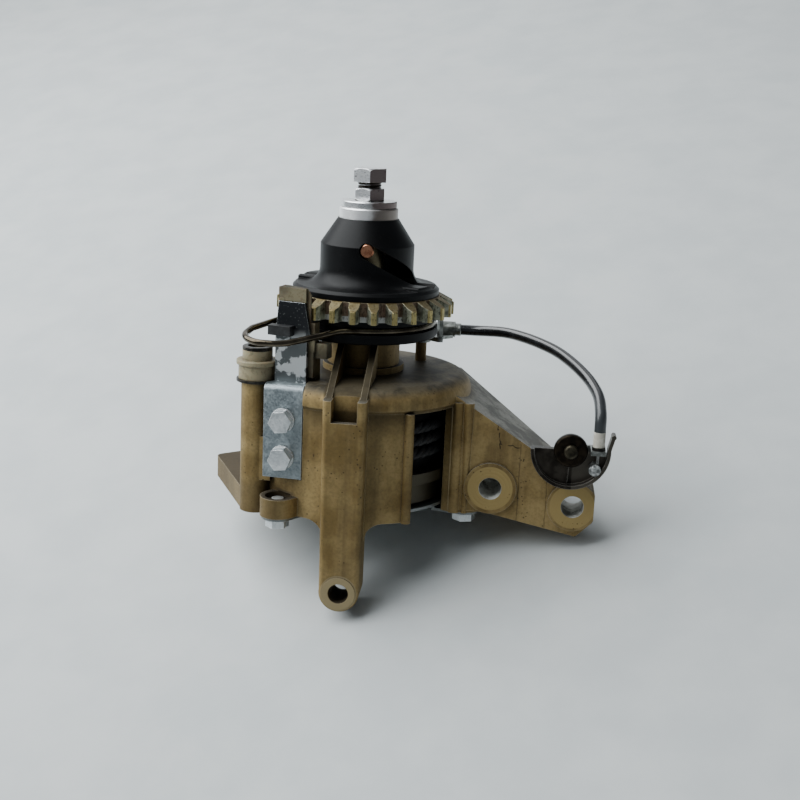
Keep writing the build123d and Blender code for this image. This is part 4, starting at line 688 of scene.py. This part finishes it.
def nylon(name, light, dark, dirt):
    """Ivory nylon, darkened by dirt and by painted shade in its corners, the more the larger dirt
    is.
    """
    plastic = Finish(name, Specular_IOR_Level=0.25, Subsurface_Weight=0.1,
                     Subsurface_Scale=mm(1.5))
    grime_and_shade = (plastic.shelter(mm(5)) + plastic.noise(170, 4) * 0.5 + dirt).fade(0.55, 0.95)
    smears = plastic.noise(420, 5, rough=0.7).fade(0.5, 0.62)
    stain = plastic.noise(70, 3).fade(0.42, 0.66)
    mark = plastic.distance(MARK, FROM_THE_FRONT)
    mark = mark.fade(mm(1.7), mm(1.4)) * mark.fade(mm(1.1), mm(1.3))
    low = plastic.by_height(71, 66) * dirt * 4
    tone = plastic.blend(stain, colour(light), colour(dark))
    tone = plastic.blend(smears * (0.35 + dirt), tone, colour("5a4f3a"))
    # Grime and painted shade darken the corners.
    tone = plastic.blend(grime_and_shade * 0.85, tone, colour("33271a"))
    tone = plastic.blend(low * 0.75, tone, colour("1d1812"))
    tone = plastic.blend(mark * 0.5, tone, colour("4b4030"))
    top = plastic.facing("Z").fade(0.5, 0.9) * dirt * 4
    tone = plastic.blend(top * 0.95, tone, colour("2b281e"))
    plastic.shade(Base_Color=tone, Roughness=0.42 + stain * 0.12 + top * 0.4)
    plastic.shade(Normal=plastic.bump(plastic.noise(420, 3) - mark, mm(0.05), mm(0.4)))
    return plastic


dress(nylon("nylon", "a0967a", "80755a", 0.04), "shaft_bushing")
dress(nylon("greasy_nylon", "7a735c", "585040", 0.2), "guide_block")

# %% [markdown]
# ## Rubber and plastic
# The stop on the guide is dull black rubber, and the cable's end piece at the lever is white
# plastic. Both are one plain colour under a film of dust, so they share a finish.

# %% Rubber and white plastic
def dusty_plastic(name, dark, light, roughness):
    """Rubber or plastic of one colour, with a film of dust."""
    skin = Finish(name)
    film = skin.noise(500, 4)
    skin.shade(Base_Color=skin.blend(film.fade(0.4, 0.7), colour(dark), colour(light)))
    skin.shade(Roughness=roughness + film * 0.12)
    skin.shade(Normal=skin.bump(film, mm(0.02), mm(0.25)))
    return skin


dress(dusty_plastic("rubber", "101010", "26282a", 0.5), "guide_stop")
dress(dusty_plastic("white_plastic", "b9b4a6", "d3cfc4", 0.4), "lower_ferrule")

# %% [markdown]
# ## The cable's skin
# It is a glossy black plastic tube that greys and dulls towards its lower end. A clear coat
# over the black gives the sharp light line along the bend, and the same map of height that
# greys the colour makes the coat thinner.

# %% Cable's skin
def cable_skin():
    skin = Finish("sheath", Coat_Roughness=0.08)
    film = skin.noise(260, 4, (1, 1, 0.4))
    low = skin.by_height(58, 47)
    tone = skin.blend(film.fade(0.4, 0.7), colour("0d0e10"), colour("1b1d20"))
    tone = skin.blend(low * 0.7, tone, colour("383c3f"))
    skin.shade(Base_Color=tone, Roughness=0.2 + film * 0.12 + low * 0.12)
    skin.shade(Coat_Weight=0.6 - low * 0.4)
    skin.shade(Normal=skin.bump(film, mm(0.01), mm(0.1)))
    return skin


dress(cable_skin(), "cable_sheath")

# %% [markdown]
# ## Rope
# What shows through the window is the outermost layer of a laid rope: three strands twisted
# together and wound on the spool like a screw. A plain tube with a painted pattern would look
# flat at the window's edge, so each strand is a real tube that winds round the rope's line.

# %% A tube along a line
def across_line(points, index):
    """Two directions across a line of points at one of them, square to each other."""
    ahead = points[min(index + 1, len(points) - 1)]
    behind = points[max(index - 1, 0)]
    way = (ahead - behind).normalized()
    across = way.cross(Vector((0, 0, 1))).normalized()
    return across, across.cross(way)


def tube(mesh, points, radius, sides):
    """Add a round tube along a list of points to a bmesh."""
    ring_before = None
    for index, point in enumerate(points):
        across, upright = across_line(points, index)
        ring = []
        for side in range(sides):
            angle = math.tau * side / sides
            reach = across * math.cos(angle) + upright * math.sin(angle)
            ring.append(mesh.verts.new(point + reach * radius))
        if ring_before:
            for side in range(sides):
                after = (side + 1) % sides
                mesh.faces.new((ring_before[side], ring[side], ring[after], ring_before[after]))
        else:
            mesh.faces.new(ring)
        ring_before = ring
    mesh.faces.new(reversed(ring_before))


def finish_piece(name, mesh, finish, body):
    """Turn a bmesh into a smooth piece that rides on a body."""
    bmesh.ops.recalc_face_normals(mesh, faces=mesh.faces)
    data = bpy.data.meshes.new(name)
    mesh.to_mesh(data)
    mesh.free()
    data.polygons.foreach_set("use_smooth", [True] * len(data.polygons))
    data.materials.append(finish.material)
    piece = bpy.data.objects.new(name, data)
    bpy.context.scene.collection.objects.link(piece)
    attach(piece, body)
    print(name, len(data.polygons), "faces")
    return piece


# %% [markdown]
# The rope's own line is a screw line round the spindle, one rope's width up with every turn. A
# strand is the same line again, moved off it by a little, in a direction that turns with the
# way travelled along the rope. Both are only lists of points, which the tube then follows.

# %% Lines of the rope and its strands
def rope_line(radius, low, high, pitch, step):
    """Points of a screw line round the spindle."""
    turns = (high - low) / pitch
    count = int(turns * math.tau * radius / step)
    points = []
    for index in range(count + 1):
        share = index / count
        angle = share * turns * math.tau
        reach = Vector((math.cos(angle), math.sin(angle), 0)) * radius
        points.append(Vector((AXIS.x, AXIS.y, low + (high - low) * share)) + reach)
    return points


def laid_strand(points, offset, twist_length, phase):
    """Points of one strand that twists round a line."""
    strand = []
    travelled = 0.0
    for index, point in enumerate(points):
        across, upright = across_line(points, index)
        angle = phase + math.tau * travelled / twist_length
        strand.append(point + (across * math.cos(angle) + upright * math.sin(angle)) * offset)
        travelled += (points[min(index + 1, len(points) - 1)] - point).length
    return strand


# %% [markdown]
# The rope is nearly black, dull where its fibres are dry and smoother where grease has soaked
# in. Behind the strands a plain core closes the gaps between them. Together they take the place
# of the CAD's smooth winding, and its box gives their size.

# %% Rope on the spool
ROPE_D = mm(5.4)
STRANDS = 3
LAY = mm(13)
STRAND_SHARE = 0.27
STRAND_SIDES = 8
ROPE_STEP = mm(1.3)
CORE_DEPTH = 0.62
CORE_SIDES = 64


def greasy_rope():
    rope = Finish("rope")
    fibres = rope.noise(1500, 4, (1, 1, 2))
    grease = rope.noise(130, 3)
    tone = rope.blend(fibres.fade(0.4, 0.7), colour("040405"), colour("0e0f10"))
    tone = rope.blend(grease.fade(0.5, 0.7) * 0.5, tone, colour("171310"))
    rope.shade(Base_Color=tone, Roughness=0.72 - grease * 0.3)
    rope.shade(Normal=rope.bump(fibres, mm(0.2), mm(0.1)))
    return rope


rope_low, rope_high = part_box("rope_winding")
rope_radius = (rope_high.x - rope_low.x) / 2
strand_radius = ROPE_D * STRAND_SHARE
rope = bmesh.new()
line_low = rope_low.z + ROPE_D / 2
line_high = rope_high.z - ROPE_D / 2
line = rope_line(rope_radius - ROPE_D / 2, line_low, line_high, ROPE_D, ROPE_STEP)
for number in range(STRANDS):
    strand = laid_strand(line, ROPE_D / 2 - strand_radius, LAY, math.tau * number / STRANDS)
    tube(rope, strand, strand_radius, STRAND_SIDES)
core_radius = rope_radius - ROPE_D * CORE_DEPTH
core = bmesh.ops.create_cone(rope, cap_ends=True, segments=CORE_SIDES, radius1=core_radius,
                             radius2=core_radius, depth=rope_high.z - rope_low.z)
middle = (rope_low + rope_high) / 2
bmesh.ops.translate(rope, verts=core["verts"], vec=middle)
rope_piece = finish_piece("rope_coil", rope, greasy_rope(), "drum")
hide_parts("rope_winding")

# %% [markdown]
# ## Thread of the spindle's bolt
# Between the bolt's head and the jam nut a short piece of thread is open to view, black with
# oil. It is wound as a ridge on the shank, as the screw-cutting tool leaves it.

# %% Bolt thread
THREAD_PITCH = mm(1.25)
THREAD_LOW = at(0, 0, 121.8).z
THREAD_HIGH = at(0, 0, 132.0).z
THREAD_STEP = mm(0.7)
SHANK_R = mm(4.4)
RIDGE_R = mm(0.5)
RIDGE_SIDES = 6

thread = bmesh.new()
ridge = rope_line(SHANK_R, THREAD_LOW, THREAD_HIGH, THREAD_PITCH, THREAD_STEP)
tube(thread, ridge, RIDGE_R, RIDGE_SIDES)
oily_thread = plain_metal("oily_thread", "0f0c0a", "2a221c", 0.3)
finish_piece("bolt_thread", thread, oily_thread, "drum")

# %% [markdown]
# ## Floor
# The starter lies back: it rests on the tip of its arm, on the corner of the bracket and on a
# screw at the rear. So the floor is tilted and not the object, and it is moved up until it
# touches the lowest point. It is plain light grey paper, large enough to fill the picture.

# %% Floor
FLOOR_UP = Vector((-0.152, -0.359, 0.921)).normalized()
FLOOR_REACH = 3.0
FLOOR_SQUARES = 8


def lowest(direction):
    """The lowest of the solids' points, where up is the direction given."""
    reach = []
    for solid in solids.values():
        reach.extend(vertex.co.dot(direction) for vertex in solid.data.vertices)
    return min(reach)


def floor_material():
    paper = Finish("floor_paper", Specular_IOR_Level=0.2)
    grain = paper.noise(30, 5)
    paper.shade(Base_Color=paper.blend(grain.fade(0.3, 0.7), colour("bfc4c5"), colour("c8cccc")))
    paper.shade(Roughness=0.8 + grain * 0.1)
    return paper


floor_mesh = bmesh.new()
bmesh.ops.create_grid(floor_mesh, x_segments=FLOOR_SQUARES, y_segments=FLOOR_SQUARES,
                      size=FLOOR_REACH)
tilt = Vector((0, 0, 1)).rotation_difference(FLOOR_UP).to_matrix().to_4x4()
under_axis = AXIS - FLOOR_UP * (AXIS.dot(FLOOR_UP) - lowest(FLOOR_UP))
floor_place = Matrix.Translation(under_axis) @ tilt
bmesh.ops.transform(floor_mesh, matrix=floor_place, verts=floor_mesh.verts)
floor_data = bpy.data.meshes.new("floor")
floor_mesh.to_mesh(floor_data)
floor_mesh.free()
floor_data.materials.append(floor_material().material)
floor = bpy.data.objects.new("floor", floor_data)
bpy.context.scene.collection.objects.link(floor)
print("the floor is tilted by", round(math.degrees(math.acos(FLOOR_UP.z)), 1), "degrees")

# %% [markdown]
# ## Light
# A large soft light stands near the left, as a window would, so that the floor darkens to the
# right. A weaker one behind lights the far floor, and a faint sky fills the shadows. A small
# lamp or a sun would draw hard edges that the real picture doesn't have.

# %% Light
TARGET = at(10, 0, 50)


def soft_light(name, direction, distance, size, power, tint):
    """A square lamp that looks at the object from a direction."""
    lamp = bpy.data.lights.new(name, "AREA")
    lamp.size = size
    lamp.energy = power
    lamp.color = tint
    holder = bpy.data.objects.new(name, lamp)
    way = Vector(direction).normalized()
    holder.location = TARGET + way * distance
    holder.rotation_euler = way.to_track_quat("Z", "Y").to_euler()
    bpy.context.scene.collection.objects.link(holder)
    print(name, power, "W,", size, "m wide,", distance, "m away")


soft_light("window_light", direction=(-0.8, -0.15, 0.85), distance=0.95, size=1.2,
           power=27.0, tint=(0.95, 0.985, 1.0))
soft_light("back_light", direction=(-0.35, 0.85, 0.9), distance=1.0, size=1.2,
           power=4.0, tint=(0.96, 0.985, 1.0))

world = bpy.data.worlds.new("studio")
world.use_nodes = True
sky = world.node_tree.nodes["Background"]
sky.inputs["Color"].default_value = (0.80, 0.86, 0.92, 1.0)
sky.inputs["Strength"].default_value = 0.2
bpy.context.scene.world = world

# %% [markdown]
# ## Camera
# The picture is taken a little from above and from the right of straight ahead, and it hangs a
# little askew. Pan, tilt and roll are easier to set one by one as angles than as a rotation in
# one piece, so the three directions of the camera are worked out from them.

# %% Camera
CAMERA_PLACE = Vector((0.063468, -0.495416, 0.200337))
CAMERA_TURN = math.radians(5.0)
CAMERA_DOWN = math.radians(13.9)
CAMERA_ROLL = math.radians(2.5)
FOCAL = 58.5
SENSOR = 36

forward = Vector((-math.cos(CAMERA_DOWN) * math.sin(CAMERA_TURN),
                  math.cos(CAMERA_DOWN) * math.cos(CAMERA_TURN), -math.sin(CAMERA_DOWN)))
level = Vector((math.cos(CAMERA_TURN), math.sin(CAMERA_TURN), 0))
over = level.cross(forward)
right = level * math.cos(CAMERA_ROLL) + over * math.sin(CAMERA_ROLL)
up = over * math.cos(CAMERA_ROLL) - level * math.sin(CAMERA_ROLL)
lens = bpy.data.cameras.new("camera")
lens.lens = FOCAL
lens.sensor_width = SENSOR
camera = bpy.data.objects.new("camera", lens)
turn = Matrix((right, up, -forward)).transposed().to_4x4()
camera.matrix_world = Matrix.Translation(CAMERA_PLACE) @ turn
bpy.context.scene.collection.objects.link(camera)
bpy.context.scene.camera = camera
print("the camera looks from", [round(value, 3) for value in CAMERA_PLACE])
